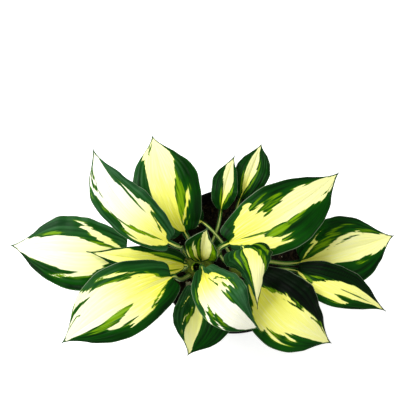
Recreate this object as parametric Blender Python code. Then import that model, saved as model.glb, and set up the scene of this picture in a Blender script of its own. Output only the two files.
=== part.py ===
"""Potted hosta: a nursery pot of potting mix with two crowns, their roots and seventeen leaves.

Metres, +Z up. The origin is the centre of the pot's underside, and -Y is the front.
Each leaf is one closed solid, from the foot of its stalk to the tip of its blade.
"""

from math import cos, exp, pi, radians, sin, sqrt, tau

import bmesh
import bpy
from mathutils import Matrix, Vector

MM = 0.001
FIT = 0.3 * MM  # gap between pieces that touch
POCKET = 0.6 * MM  # gap between a crown and the mix round it

# pot
RIM_R = 85.5 * MM
POT_H = 165 * MM
FOOT_R = 65 * MM
WALL = 1.6 * MM
FLOOR = 2.0 * MM
COLLAR_H = 15 * MM
COLLAR_STEP = 2.2 * MM  # how far the collar stands out from the wall
LIP = 2.4 * MM
COLLAR_DRAW = 1.2 * MM  # how much narrower the collar is at its lower edge
FOOT_CHAMFER = 2.5 * MM
LIP_EASE = 0.6 * MM  # the rim's rounded corners
STEP_RISE = 2.0 * MM  # height of the slope between the wall and the collar, inside
POT_SIDES = 64
DRAINS = 6
DRAIN_R = 6 * MM
DRAIN_RING = 46 * MM
DRAIN_SIDES = 16

# potting mix
SOIL_TOP = 144 * MM
SOIL_MOUND = 1.5 * MM  # how far it falls from the middle to the rim
SOIL_LEVEL = 0.35  # share of the rim's radius that is level
SOIL_SLACK = 0.15 * MM  # more gap to the wall, for the flats of its many sides
SOIL_SIDES = 48

# crowns and roots
CROWN_SIDES = 20
DOME_RISE = 12 * MM
DOME_DROP = 16 * MM
DOME_STEPS = 7  # from the widest part to the top
DOME_UNDER = 0.45  # the underside's radius, as a share of the crown's
DOME_TOP = 0.06
ROOT_SIDES = 6
ROOT_STEPS = 7
ROOT_R = 1.7 * MM
ROOT_SPREAD = 24 * MM
ROOT_DEPTH = 96 * MM
ROOT_TURN = radians(20)
ROOT_START = 0.4  # where a root leaves the crown, as a share of its radius
ROOT_TOP = 6 * MM  # below the dome's centre
ROOT_FALL = 1.4  # how late a root turns down
ROOT_STAGGER = 0.12  # each third root is this much shorter than the last
ROOT_TAPER = 0.5

# stalks and blades
STALK_FOLD = radians(52)  # how far the two sides of a stalk's channel are turned up
STALK_THICK = 2.2 * MM
RIB_THICK = 1.3 * MM
EDGE_THICK = 0.7 * MM
TIP_HALF = 0.45 * MM
BASE_ROUND = 0.6  # roundness of a blade's shoulders
TIP_DRAW = 1.3  # how drawn-out its tip is
LOBE_AT = 0.09  # where along the blade its base lobes reach back most
BASE_RUN = 0.1  # where the stalk's channel has opened out into the blade
STALK_STEPS = (0.0, 0.2, 0.42, 0.64, 0.84)
BLADE_STEPS = (0.0, 0.035, 0.1, 0.2, 0.34, 0.5, 0.66, 0.8, 0.91, 1.0)
ACROSS = (-1.0, -0.7, -0.35, 0.0, 0.35, 0.7, 1.0)

# rolled shoot and papery scale
SHOOT_HEADING = 255  # of its foot on the west crown's dome, in degrees
SHOOT_RING = 4
SHOOT_LENGTH = 34 * MM
SHOOT_FOOT_R = 3.6 * MM
SHOOT_TOP_R = 6.6 * MM
SHOOT_WALL = 1.1 * MM
SHOOT_SIDES = 20
SHOOT_WAIST = 0.55  # how far up its side bends outwards
SHOOT_WELL = 0.25  # how far up its hollow ends
SCALE_FROM = radians(232)
SCALE_SPAN = radians(42)
SCALE_STEPS = 8
SCALE_THICK = 0.8 * MM
SCALE_OUT = 2.2 * MM  # from the crown
SCALE_ENDS = 3 * MM  # its height at its two ends
SCALE_RISE = 10 * MM  # how much taller it is in the middle
SCALE_LEAN = 0.75
SCALE_BELLY = 0.12

CROWNS = {
    # name: centre of the dome (mm), radius (mm), headings of the roots (degrees)
    "crown_west": ((-40, -4, 142), 19, (70, 115, 160, 205, 250, 295)),
    "crown_east": ((9, -5, 142), 14, (-95, -55, -15, 25, 65, 105)),
}


def pair(value):
    """The same value for a blade's left and right halves, unless it is already two."""
    return value if isinstance(value, tuple) else (value, value)


class Leaf:
    """One leaf's design, in millimetres and degrees, with left and right as seen from its foot."""

    def __init__(
        self, crown, foot, ring, base, middle, tip, half, fold=(12, 12), droop=(12, 12), roll=0,
        wide=0.42, bow=1.9, lobe=0.07, stalk=3.2, rise=0.55, arrive=0.45, lean=None,
    ):
        self.crown = crown  # the crown that it grows from
        self.foot = foot  # heading of its foot on the crown's dome, in degrees
        self.ring = ring  # the foot's distance from the crown's middle
        self.base, self.middle, self.tip = (Vector(p) * MM for p in (base, middle, tip))
        self.half = tuple(h * MM for h in half)  # half widths, left and right
        self.fold = tuple(radians(a) for a in fold)  # how far each half is turned up beside the midrib
        self.droop = tuple(radians(a) for a in droop)  # how far each half hangs at its margin
        self.roll = radians(roll)  # turn of the blade about its midrib
        self.wide = pair(wide)  # where along the blade each half is widest, from 0 to 1
        self.bow = pair(bow)  # how full each half stays on its way to the tip
        self.lobe = pair(lobe)  # how far each half of the heart-shaped base reaches back
        self.stalk = stalk * MM  # half the stalk's width
        self.rise = rise  # how stiffly the stalk leaves its foot
        self.arrive = arrive  # how stiffly the stalk runs into the blade
        self.lean = lean  # heading in which the stalk leaves its foot, where it isn't the foot's own


LEAVES = {
    "leaf_01": Leaf("crown_west", 171, 15, (-121, 6, 190), (-184, 2, 200), (-255, 13, 186), (43, 43),
                    wide=(0.42, 0.55)),
    "leaf_02": Leaf("crown_west", 141, 15, (-73, 10, 222), (-122, 49, 240), (-159, 117, 224), (27, 29),
                    droop=(26, 12), roll=4, wide=(0.58, 0.37)),
    "leaf_03": Leaf("crown_west", 103, 15, (-56, 29, 188), (-77, 80, 206), (-94, 141, 196), (40, 38),
                    wide=(0.46, 0.5)),
    "leaf_04": Leaf("crown_west", 62, 15, (-14, 55, 188), (-9, 80, 198), (2, 118, 192), (16, 15),
                    fold=(18, 18), wide=(0.55, 0.42), lobe=0.02, stalk=2.2, rise=0.25, arrive=0.55, lean=56),
    "leaf_05": Leaf("crown_east", 88, 10, (9, 71, 178), (22, 102, 186), (34, 136, 180), (19, 22),
                    fold=(16, 16), wide=(0.42, 0.5), lobe=0.03, stalk=2.4),
    "leaf_06": Leaf("crown_west", 22, 15, (-5, 12, 205), (57, 42, 224), (121, 94, 206), (38, 39),
                    droop=(8, 20), wide=(0.46, 0.5), lobe=(0.1, 0.0), stalk=3.4),
    "leaf_07": Leaf("crown_east", 12, 10, (78, -4, 172), (131, 9, 180), (187, 27, 172), (42, 40),
                    wide=(0.46, 0.5), stalk=2.8),
    "leaf_08": Leaf("crown_east", -28, 10, (74, -16, 182), (120, -35, 192), (174, -61, 172), (22, 26),
                    wide=(0.5, 0.42), stalk=2.8),
    "leaf_09": Leaf("crown_east", -70, 10, (23, -24, 194), (61, -67, 207), (109, -98, 184), (40, 44),
                    wide=(0.45, 0.5)),
    "leaf_10": Leaf("crown_east", -60, 5, (10, -1, 238), (19, -31, 243), (25, -64, 218), (33, 29),
                    fold=(8, 4), droop=(58, 76), wide=(0.15, 0.12), bow=(1.0, 0.8), lobe=(0.05, 0.12),
                    stalk=2.6, rise=0.75, arrive=0.25),
    "leaf_11": Leaf("crown_west", -58, 15, (-35, -19, 208), (-12, -60, 242), (27, -86, 221), (32, 27),
                    fold=(12, 20), droop=(16, 2), wide=(0.42, 0.5), lobe=(0.07, 0.0)),
    "leaf_12": Leaf("crown_west", -98, 15, (-42, -32, 176), (-40, -72, 186), (-52, -111, 172), (39, 29),
                    wide=(0.48, 0.5), stalk=2.8),
    "leaf_13": Leaf("crown_west", 228, 15, (-69, -29, 219), (-127, -63, 236), (-189, -100, 208), (37, 43),
                    wide=(0.48, 0.5), rise=0.35, arrive=0.15, lean=217),
    "leaf_14": Leaf("crown_west", 198, 16, (-57, -10, 188), (-105, -7, 208), (-165, 2, 206), (20, 18),
                    fold=(30, 34), droop=(0, -6), wide=(0.38, 0.28), lobe=(0.0, 0.05), stalk=2.4),
    "leaf_15": Leaf("crown_west", 60, 8, (-36, -1, 168), (-35, 8, 198), (-30, 24, 226), (21, 21),
                    fold=(36, 40), droop=(-8, -8), wide=(0.64, 0.5), lobe=0.0, stalk=2.6),
    "leaf_16": Leaf("crown_east", 132, 10, (-36, 41, 184), (-53, 53, 183), (-74, 68, 176), (12, 14),
                    fold=(16, 16), lobe=0.0, stalk=1.9, rise=0.35, arrive=0.3),
    "leaf_17": Leaf("crown_east", 172, 11, (-16, 10, 157), (-18, 17, 164), (-18, 25, 168), (7, 6),
                    fold=(30, 30), droop=(0, 0), lobe=0.0, stalk=2.0),
}


def clear_scene():
    for thing in list(bpy.data.objects):
        bpy.data.objects.remove(thing, do_unlink=True)


def finish(name, colour, roughness):
    """A plain material in the piece's own colour."""
    material = bpy.data.materials.new(name)
    material.use_nodes = True
    shader = material.node_tree.nodes["Principled BSDF"]
    shader.inputs["Base Color"].default_value = (*colour, 1.0)
    shader.inputs["Roughness"].default_value = roughness
    shader.inputs["Metallic"].default_value = 0.0
    return material


def add_object(name, bm, material=None):
    """A named object from a bmesh, which is freed."""
    bmesh.ops.recalc_face_normals(bm, faces=bm.faces)
    mesh = bpy.data.meshes.new(name)
    bm.to_mesh(mesh)
    bm.free()
    thing = bpy.data.objects.new(name, mesh)
    bpy.context.scene.collection.objects.link(thing)
    if material:
        mesh.materials.append(material)
    return thing


def hide_tool(thing):
    thing.hide_render = True
    thing.display_type = "WIRE"


def boolean(target, tool, operation):
    modifier = target.modifiers.new(tool.name, "BOOLEAN")
    modifier.solver = "EXACT"
    modifier.operation = operation
    modifier.object = tool


def ring_points(centre, radius, sides):
    return [centre + Vector((cos(tau * i / sides), sin(tau * i / sides), 0)) * radius for i in range(sides)]


def skin(bm, rings):
    """Closes a row of equal rings of points into one solid with a flat face at each end."""
    rows = [[bm.verts.new(p) for p in ring] for ring in rings]
    count = len(rows[0])
    for lower, upper in zip(rows, rows[1:]):
        for i in range(count):
            j = (i + 1) % count
            bm.faces.new((lower[i], lower[j], upper[j], upper[i]))
    bm.faces.new(list(reversed(rows[0])))
    bm.faces.new(rows[-1])


def turned(profile, sides, centre=Vector((0, 0, 0))):
    """A solid turned about the upright axis through centre, from (radius, height) pairs."""
    bm = bmesh.new()
    skin(bm, [ring_points(centre + Vector((0, 0, z)), r, sides) for r, z in profile])
    return bm


def wall_radius(z):
    """The pot's outer wall at height z, below its collar."""
    top = RIM_R - COLLAR_STEP - COLLAR_DRAW
    return FOOT_R + (top - FOOT_R) * z / (POT_H - COLLAR_H)


def build_pot(material):
    under = POT_H - COLLAR_H
    inner_lip = RIM_R - LIP
    profile = (
        (FOOT_R - FOOT_CHAMFER, 0.0),
        (wall_radius(FOOT_CHAMFER), FOOT_CHAMFER),
        (wall_radius(under), under),
        (RIM_R - COLLAR_DRAW, under + COLLAR_DRAW),
        (RIM_R, POT_H - COLLAR_H / 5),
        (RIM_R - LIP_EASE, POT_H - LIP_EASE),
        (RIM_R - LIP / 2, POT_H),
        (inner_lip, POT_H - LIP_EASE),
        (inner_lip - COLLAR_DRAW, under + STEP_RISE),
        (wall_radius(under) - WALL, under - STEP_RISE),
        (wall_radius(FLOOR) - WALL, FLOOR),
    )
    pot = add_object("pot", turned(profile, POT_SIDES), material)
    for i in range(DRAINS):
        angle = tau * (i + 0.5) / DRAINS
        place = Vector((cos(angle), sin(angle), 0)) * DRAIN_RING
        hole = turned(((DRAIN_R, -FLOOR), (DRAIN_R, 2 * FLOOR)), DRAIN_SIDES, place)
        tool = add_object(f"drain_tool_{i + 1}", hole)
        hide_tool(tool)
        boolean(pot, tool, "DIFFERENCE")


def dome_profile(radius, extra):
    """Half an upright section of a crown: a flat underside, a round belly and a low dome."""
    points = [(radius * DOME_UNDER + extra, -DOME_DROP - extra)]
    for i in range(-2, DOME_STEPS):
        angle = i / DOME_STEPS * pi / 2
        rise = DOME_RISE if i > 0 else DOME_DROP
        points.append((radius * cos(angle) + extra, (rise + extra) * sin(angle)))
    points.append((radius * DOME_TOP, DOME_RISE + extra))
    return points


def root_path(centre, radius, heading, depth):
    """Points down one fleshy root, from inside the crown outwards and down towards the pot's floor."""
    points = []
    for i in range(ROOT_STEPS):
        t = i / (ROOT_STEPS - 1)
        out = radius * ROOT_START + ROOT_SPREAD * sqrt(t) * (1 - t / 4)
        angle = heading + ROOT_TURN * t * t
        down = ROOT_TOP + depth * t**ROOT_FALL
        points.append(centre + Vector((cos(angle) * out, sin(angle) * out, -down)))
    return points


def root_tubes(centre, radius, headings, extra):
    """All of a crown's roots, each a closed tapering tube, in one bmesh."""
    bm = bmesh.new()
    for number, heading in enumerate(headings):
        depth = ROOT_DEPTH * (1 - ROOT_STAGGER * (number % 3))
        path = root_path(centre, radius, radians(heading), depth)
        rings = []
        for i, point in enumerate(path):
            ahead = (path[min(i + 1, ROOT_STEPS - 1)] - path[max(i - 1, 0)]).normalized()
            side = Vector((-sin(radians(heading)), cos(radians(heading)), 0))
            across = ahead.cross(side).normalized()
            size = ROOT_R * (1 - ROOT_TAPER * i / (ROOT_STEPS - 1)) + extra
            end = ahead * (extra if i == ROOT_STEPS - 1 else 0.0)
            ring = ring_points(Vector((0, 0, 0)), size, ROOT_SIDES)
            rings.append([point + end + side * p.x + across * p.y for p in ring])
        skin(bm, rings)
    return bm


def crown_solid(name, extra, material=None):
    """A crown with its roots; extra makes it that much fatter all round, to cut its pocket."""
    place, radius, headings = CROWNS[name]
    centre = Vector(place) * MM
    label = name if not extra else f"{name}_pocket"
    crown = add_object(label, turned(dome_profile(radius * MM, extra), CROWN_SIDES, centre), material)
    roots = add_object(f"{label}_roots", root_tubes(centre, radius * MM, headings, extra))
    hide_tool(roots)
    boolean(crown, roots, "UNION")
    return crown


def soil_height(r):
    """The mix's surface at distance r from the pot's axis: a low mound."""
    return SOIL_TOP - SOIL_MOUND * max(0.0, r / RIM_R - SOIL_LEVEL) / (1 - SOIL_LEVEL)


def build_soil(material):
    floor = FLOOR + FIT
    shoulder = POT_H - COLLAR_H - STEP_RISE
    top = soil_height(RIM_R)

    def inside(z):
        share = (z - FLOOR) / (shoulder - FLOOR)
        low = wall_radius(FLOOR) - WALL
        high = wall_radius(shoulder + STEP_RISE) - WALL
        return low + (high - low) * share - FIT - SOIL_SLACK

    edge = inside(top)
    profile = [(inside(floor), floor)]
    profile += [(edge * share, soil_height(edge * share)) for share in (1.0, 0.75, 0.4)]
    soil = add_object("potting_mix", turned(profile, SOIL_SIDES), material)
    for name in CROWNS:
        pocket = crown_solid(name, POCKET)
        hide_tool(pocket)
        boolean(soil, pocket, "DIFFERENCE")


def dome_point(crown, heading, ring):
    """A point on a crown's dome, at a heading in degrees and a distance in mm, with the normal there."""
    place, radius, _ = CROWNS[crown]
    side = Vector((cos(radians(heading)), sin(radians(heading)), 0))
    height = DOME_RISE * sqrt(1 - (ring / radius) ** 2)
    normal = side * ring * MM / (radius * MM) ** 2 + Vector((0, 0, height / DOME_RISE**2))
    return Vector(place) * MM + side * ring * MM + Vector((0, 0, height)), normal.normalized()


def midrib(leaf, t):
    """A point and the heading of the midrib; it runs on straight behind the base, where t is under 0."""
    pull = 2 * leaf.middle - (leaf.base + leaf.tip) / 2
    if t < 0:
        start = (pull - leaf.base) * 2
        return leaf.base + start * t, start.normalized()
    point = leaf.base * (1 - t) ** 2 + pull * 2 * t * (1 - t) + leaf.tip * t * t
    ahead = (pull - leaf.base) * (1 - t) + (leaf.tip - pull) * t
    return point, ahead.normalized()


def stalk_point(leaf, t):
    """A point and the heading of the stalk, a smooth curve from the dome into the midrib."""
    foot, normal = dome_point(leaf.crown, leaf.foot, leaf.ring)
    foot = foot + normal * FIT
    _, ahead = midrib(leaf, 0.0)
    span = (leaf.base - foot).length
    leave = normal
    if leaf.lean is not None:
        side = Vector((cos(radians(leaf.lean)), sin(radians(leaf.lean)), 0))
        leave = (normal + side).normalized()
    a = foot + leave * span * leaf.rise
    b = leaf.base - ahead * span * leaf.arrive
    if t == 0:
        return foot, normal  # the foot is cut square to the dome
    point = foot * (1 - t) ** 3 + a * 3 * t * (1 - t) ** 2 + b * 3 * t * t * (1 - t) + leaf.base * t**3
    heading = (a - foot) * (1 - t) ** 2 + (b - a) * 2 * t * (1 - t) + (leaf.base - b) * t * t
    return point, heading.normalized()


def outline(wide, bow, u):
    """A half blade's width at u, as a share of its greatest: a round base and a drawn-out tip."""
    if u < wide:
        return (1 - (1 - u / wide) ** 2) ** BASE_ROUND
    return (1 - ((u - wide) / (1 - wide)) ** bow) ** TIP_DRAW


def frame_at(heading, roll):
    """The direction to a strip's left and the direction that its upper face looks in."""
    left = Vector((0, 0, 1)).cross(heading).normalized()
    turn = Matrix.Rotation(roll, 3, heading)
    left = turn @ left
    return left, heading.cross(left)


def strip_ring(places, thick_mid, thick_edge):
    """A closed ring of points: the upper face from left to right, then the lower face back."""
    upper, lower = [], []
    for v, point, normal in places:
        thick = thick_edge + (thick_mid - thick_edge) * (1 - abs(v)) ** 2
        upper.append(point)
        lower.append(point - normal * thick)
    return upper + lower[::-1]


def section(point, heading, roll, v, half, fold, droop):
    """One point across a strip, and the surface normal there."""
    left, up = frame_at(heading, roll)
    side = -1 if v > 0 else 1
    reach = abs(v)
    lift = fold - (fold + droop) * reach / 2
    slope = fold - (fold + droop) * reach
    out = reach * half
    place = point + left * side * out * cos(lift) + up * out * sin(lift)
    return place, up * cos(slope) - left * side * sin(slope)


def leaf_rings(leaf):
    """The sections of a whole leaf, from its foot to its tip."""
    rings = []
    for t in STALK_STEPS:
        point, heading = stalk_point(leaf, t)
        blend = t**3
        places = []
        for v in ACROSS:
            fold = STALK_FOLD + (leaf.fold[v > 0] - STALK_FOLD) * blend * 0.5
            place, normal = section(point, heading, leaf.roll * t, v, leaf.stalk, fold, 0.0)
            places.append((v, place, normal))
        rings.append(strip_ring(places, STALK_THICK, STALK_THICK * 0.45))
    for u in BLADE_STEPS:
        grow = min(1.0, u / BASE_RUN)
        places = []
        for v in ACROSS:
            which = int(v > 0)
            back = leaf.lobe[which] * u / LOBE_AT * exp(1 - u / LOBE_AT) * abs(v)
            point, heading = midrib(leaf, u - back)
            half = leaf.half[which] * outline(leaf.wide[which], leaf.bow[which], u)
            half = max(half + leaf.stalk * (1 - u) ** 8 * (1 - grow), TIP_HALF)
            fold = STALK_FOLD * 0.5 * (1 - grow) + leaf.fold[which] * (0.5 + 0.5 * grow)
            droop = leaf.droop[which] * grow
            place, normal = section(point, heading, leaf.roll, v, half, fold, droop)
            places.append((v, place, normal))
        thick = RIB_THICK + (STALK_THICK - RIB_THICK) * (1 - u) ** 4
        rings.append(strip_ring(places, thick, EDGE_THICK))
    return rings


def build_leaf(name, material):
    bm = bmesh.new()
    skin(bm, leaf_rings(LEAVES[name]))
    add_object(name, bm, material)


def build_shoot(material):
    """The next leaf, still rolled into a tube that is open at its top."""
    foot, normal = dome_point("crown_west", SHOOT_HEADING, SHOOT_RING)
    turn = normal.to_track_quat("Z", "X")
    middle = (SHOOT_FOOT_R + SHOOT_TOP_R) / 2
    profile = (
        (SHOOT_FOOT_R / 2, 0.0),
        (SHOOT_FOOT_R, SHOOT_FOOT_R / 2),
        (middle, SHOOT_LENGTH * SHOOT_WAIST),
        (SHOOT_TOP_R, SHOOT_LENGTH),
        (SHOOT_TOP_R - SHOOT_WALL, SHOOT_LENGTH),
        (middle - SHOOT_WALL, SHOOT_LENGTH * SHOOT_WAIST),
        (SHOOT_FOOT_R - SHOOT_WALL, SHOOT_LENGTH * SHOOT_WELL),
    )
    bm = turned(profile, SHOOT_SIDES)
    for vert in bm.verts:
        vert.co = foot + normal * FIT + turn @ vert.co
    add_object("rolled_shoot", bm, material)


def build_scale(material):
    """A dry papery bud scale, curled round the foot of the stalks at the front of the crown."""
    place, radius, _ = CROWNS["crown_west"]
    centre = Vector((place[0], place[1], 0)) * MM
    rings = []
    for i in range(SCALE_STEPS + 1):
        t = i / SCALE_STEPS
        angle = SCALE_FROM + SCALE_SPAN * t
        tall = SCALE_ENDS + SCALE_RISE * sqrt(max(0.0, sin(pi * t)))
        out = Vector((cos(angle), sin(angle), 0))
        low = centre + out * (radius * MM + SCALE_OUT)
        low.z = soil_height(low.length) + FIT
        high = low + out * tall * SCALE_LEAN + Vector((0, 0, tall))
        middle = (low + high) / 2 + out * tall * SCALE_BELLY
        back = out * SCALE_THICK
        rings.append([low, middle, high, high + back, middle + back, low + back])
    bm = bmesh.new()
    skin(bm, rings)
    add_object("papery_scale", bm, material)


def main():
    clear_scene()
    black = finish("pot_plastic", (0.012, 0.012, 0.013), 0.45)
    peat = finish("potting_mix", (0.03, 0.022, 0.016), 0.95)
    flesh = finish("crown_flesh", (0.62, 0.58, 0.36), 0.6)
    blade = finish("leaf", (0.3, 0.45, 0.12), 0.45)
    bud = finish("shoot", (0.22, 0.36, 0.06), 0.45)
    paper = finish("dry_scale", (0.5, 0.4, 0.25), 0.85)
    build_pot(black)
    build_soil(peat)
    for name in CROWNS:
        crown_solid(name, 0.0, flesh)
    for name in LEAVES:
        build_leaf(name, blade)
    build_shoot(bud)
    build_scale(paper)


main()
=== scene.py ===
from math import cos, pi, radians, sin, sqrt, tau

import bmesh
import bpy
import numpy as np
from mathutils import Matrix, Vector, noise


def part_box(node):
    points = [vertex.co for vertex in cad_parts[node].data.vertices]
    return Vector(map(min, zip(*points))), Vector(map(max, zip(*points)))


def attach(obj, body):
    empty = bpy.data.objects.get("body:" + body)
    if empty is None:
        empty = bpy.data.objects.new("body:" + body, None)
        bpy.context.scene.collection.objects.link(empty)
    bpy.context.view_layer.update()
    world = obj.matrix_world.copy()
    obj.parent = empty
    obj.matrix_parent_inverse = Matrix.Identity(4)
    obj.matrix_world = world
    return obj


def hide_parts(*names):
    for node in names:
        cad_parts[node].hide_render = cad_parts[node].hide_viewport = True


# The looks of a potted hosta: fine leaves on their stalks, the pot, the mix and its crumbs.
# Metres. The plant stands on z = 0 with the pot's axis upright, and -Y is its front.

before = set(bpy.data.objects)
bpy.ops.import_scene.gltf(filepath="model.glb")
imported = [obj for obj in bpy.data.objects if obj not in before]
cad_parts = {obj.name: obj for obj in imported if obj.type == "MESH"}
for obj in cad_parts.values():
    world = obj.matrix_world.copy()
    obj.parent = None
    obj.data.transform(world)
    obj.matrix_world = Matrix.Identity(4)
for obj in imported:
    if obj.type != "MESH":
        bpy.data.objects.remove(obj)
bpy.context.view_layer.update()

MM = 0.001
BODY = "root"
FIT = 0.3 * MM

# ---------------------------------------------------------------- leaves: shape

DOME_RISE = 12 * MM
STALK_FOLD = radians(52)
STALK_THICK = 2.2 * MM
RIB_THICK = 1.3 * MM
EDGE_THICK = 0.7 * MM
TIP_HALF = 0.45 * MM
BASE_ROUND = 0.6
TIP_DRAW = 1.3
TIP_PINCH = 0.3
LOBE_AT = 0.09
BASE_RUN = 0.1

STALK_ROWS = 36
BLADE_ROWS = 132
COLUMNS = 75
VEINS = 8  # on each side of the midrib
QUILT = 0.55 * MM  # how far the blade swells between two veins
RIPPLE = 1.5 * MM  # how far the margin waves up and down
SWELL = 1.0 * MM  # slow unevenness of the whole blade
SINK = 0.6 * MM  # how far the midrib lies below the blade beside it
VEIN_SPREAD = 0.9  # below 1 sets the veins wider apart near the midrib
ROW_CROWDING = 1.12  # over 1 sets the rows closer together near the base

CROWNS = {"crown_west": ((-40, -4, 142), 19), "crown_east": ((9, -5, 142), 14)}


def pair(value):
    """The same value for a blade's left and right halves, unless it is already two."""
    return value if isinstance(value, tuple) else (value, value)


class Leaf:
    """One leaf's design, in millimetres and degrees, with left and right as seen from its foot."""

    def __init__(
        self, crown, foot, ring, base, middle, tip, half, fold=(12, 12), droop=(12, 12), roll=0,
        wide=0.42, bow=1.9, lobe=0.07, stalk=3.2, rise=0.55, arrive=0.45, lean=None,
    ):
        self.crown = crown
        self.foot = foot
        self.ring = ring
        self.base, self.middle, self.tip = (np.array(p) * MM for p in (base, middle, tip))
        self.half = tuple(h * MM for h in half)
        self.fold = tuple(radians(a) for a in fold)
        self.droop = tuple(radians(a) for a in droop)
        self.roll = radians(roll)
        self.wide = pair(wide)
        self.bow = pair(bow)
        self.lobe = pair(lobe)
        self.stalk = stalk * MM
        self.rise = rise
        self.arrive = arrive
        self.lean = lean


LEAVES = {
    "leaf_01": Leaf("crown_west", 171, 15, (-121, 6, 190), (-184, 2, 200), (-255, 13, 186), (43, 43),
                    wide=(0.42, 0.55)),
    "leaf_02": Leaf("crown_west", 141, 15, (-73, 10, 222), (-122, 49, 240), (-159, 117, 224), (27, 29),
                    droop=(26, 12), roll=4, wide=(0.58, 0.37)),
    "leaf_03": Leaf("crown_west", 103, 15, (-56, 29, 188), (-77, 80, 206), (-94, 141, 196), (40, 38),
                    wide=(0.46, 0.5)),
    "leaf_04": Leaf("crown_west", 62, 15, (-14, 55, 188), (-9, 80, 198), (2, 118, 192), (16, 15),
                    fold=(18, 18), wide=(0.55, 0.42), lobe=0.02, stalk=2.2, rise=0.25, arrive=0.55,
                    lean=56),
    "leaf_05": Leaf("crown_east", 88, 10, (9, 71, 178), (22, 102, 186), (34, 136, 180), (19, 22),
                    fold=(16, 16), wide=(0.42, 0.5), lobe=0.03, stalk=2.4),
    "leaf_06": Leaf("crown_west", 22, 15, (-5, 12, 205), (57, 42, 224), (121, 94, 206), (38, 39),
                    droop=(8, 20), wide=(0.46, 0.5), lobe=(0.1, 0.0), stalk=3.4),
    "leaf_07": Leaf("crown_east", 12, 10, (78, -4, 172), (131, 9, 180), (187, 27, 172), (42, 40),
                    wide=(0.46, 0.5), stalk=2.8),
    "leaf_08": Leaf("crown_east", -28, 10, (74, -16, 182), (120, -35, 192), (174, -61, 172), (22, 26),
                    wide=(0.5, 0.42), stalk=2.8),
    "leaf_09": Leaf("crown_east", -70, 10, (23, -24, 194), (61, -67, 207), (109, -98, 184), (40, 44),
                    wide=(0.45, 0.5)),
    "leaf_10": Leaf("crown_east", -60, 5, (10, -1, 238), (19, -31, 243), (25, -64, 218), (33, 29),
                    fold=(8, 4), droop=(58, 76), wide=(0.15, 0.12), bow=(1.0, 0.8), lobe=(0.05, 0.12),
                    stalk=2.6, rise=0.75, arrive=0.25),
    "leaf_11": Leaf("crown_west", -58, 15, (-35, -19, 208), (-12, -60, 242), (27, -86, 221), (32, 27),
                    fold=(12, 20), droop=(16, 2), wide=(0.42, 0.5), lobe=(0.07, 0.0)),
    "leaf_12": Leaf("crown_west", -98, 15, (-42, -32, 176), (-40, -72, 186), (-52, -111, 172), (39, 29),
                    wide=(0.48, 0.5), stalk=2.8),
    "leaf_13": Leaf("crown_west", 228, 15, (-69, -29, 219), (-127, -63, 236), (-189, -100, 208), (37, 43),
                    wide=(0.48, 0.5), rise=0.35, arrive=0.15, lean=217),
    "leaf_14": Leaf("crown_west", 198, 16, (-57, -10, 188), (-105, -7, 208), (-165, 2, 206), (20, 18),
                    fold=(30, 34), droop=(0, -6), wide=(0.38, 0.28), lobe=(0.0, 0.05), stalk=2.4),
    "leaf_15": Leaf("crown_west", 60, 8, (-36, -1, 168), (-35, 8, 198), (-30, 24, 226), (21, 21),
                    fold=(36, 40), droop=(-8, -8), wide=(0.64, 0.5), lobe=0.0, stalk=2.6),
    "leaf_16": Leaf("crown_east", 132, 10, (-36, 41, 184), (-53, 53, 183), (-74, 68, 176), (12, 14),
                    fold=(16, 16), lobe=0.0, stalk=1.9, rise=0.35, arrive=0.3),
    "leaf_17": Leaf("crown_east", 172, 11, (-16, 10, 157), (-18, 17, 164), (-18, 25, 168), (7, 6),
                    fold=(30, 30), droop=(0, 0), lobe=0.0, stalk=2.0),
}

# ---------------------------------------------------------------- leaves: markings


class Marks:
    """Where one blade is cream. u runs from the blade's base (0) to its tip (1) and v from its left
    margin (-1) over the midrib (0) to its right margin (1). The cream lies between low and high, which
    give v at a few places u. Streaks are (u, v, u, v, half width), from their base end to their tip end.
    """

    def __init__(self, high, low, cream=(), lime=(), green=(), tone=(0.3, 1.0, 0.4), glaucous_sheen_shade=(0.0, 0.0)):
        self.high = high
        self.low = low
        self.cream = cream  # streaks of cream
        self.lime = lime  # streaks of yellow-green
        self.green = green  # streaks of dark green
        self.tone = tone  # how yellow: at the tip, at the base, and how far the base's yellow reaches
        self.glaucous_sheen_shade = glaucous_sheen_shade  # the bluish glaucous coat of the left and right margins, partly painted sheen, or under 0 painted shade in a near-black green


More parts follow.
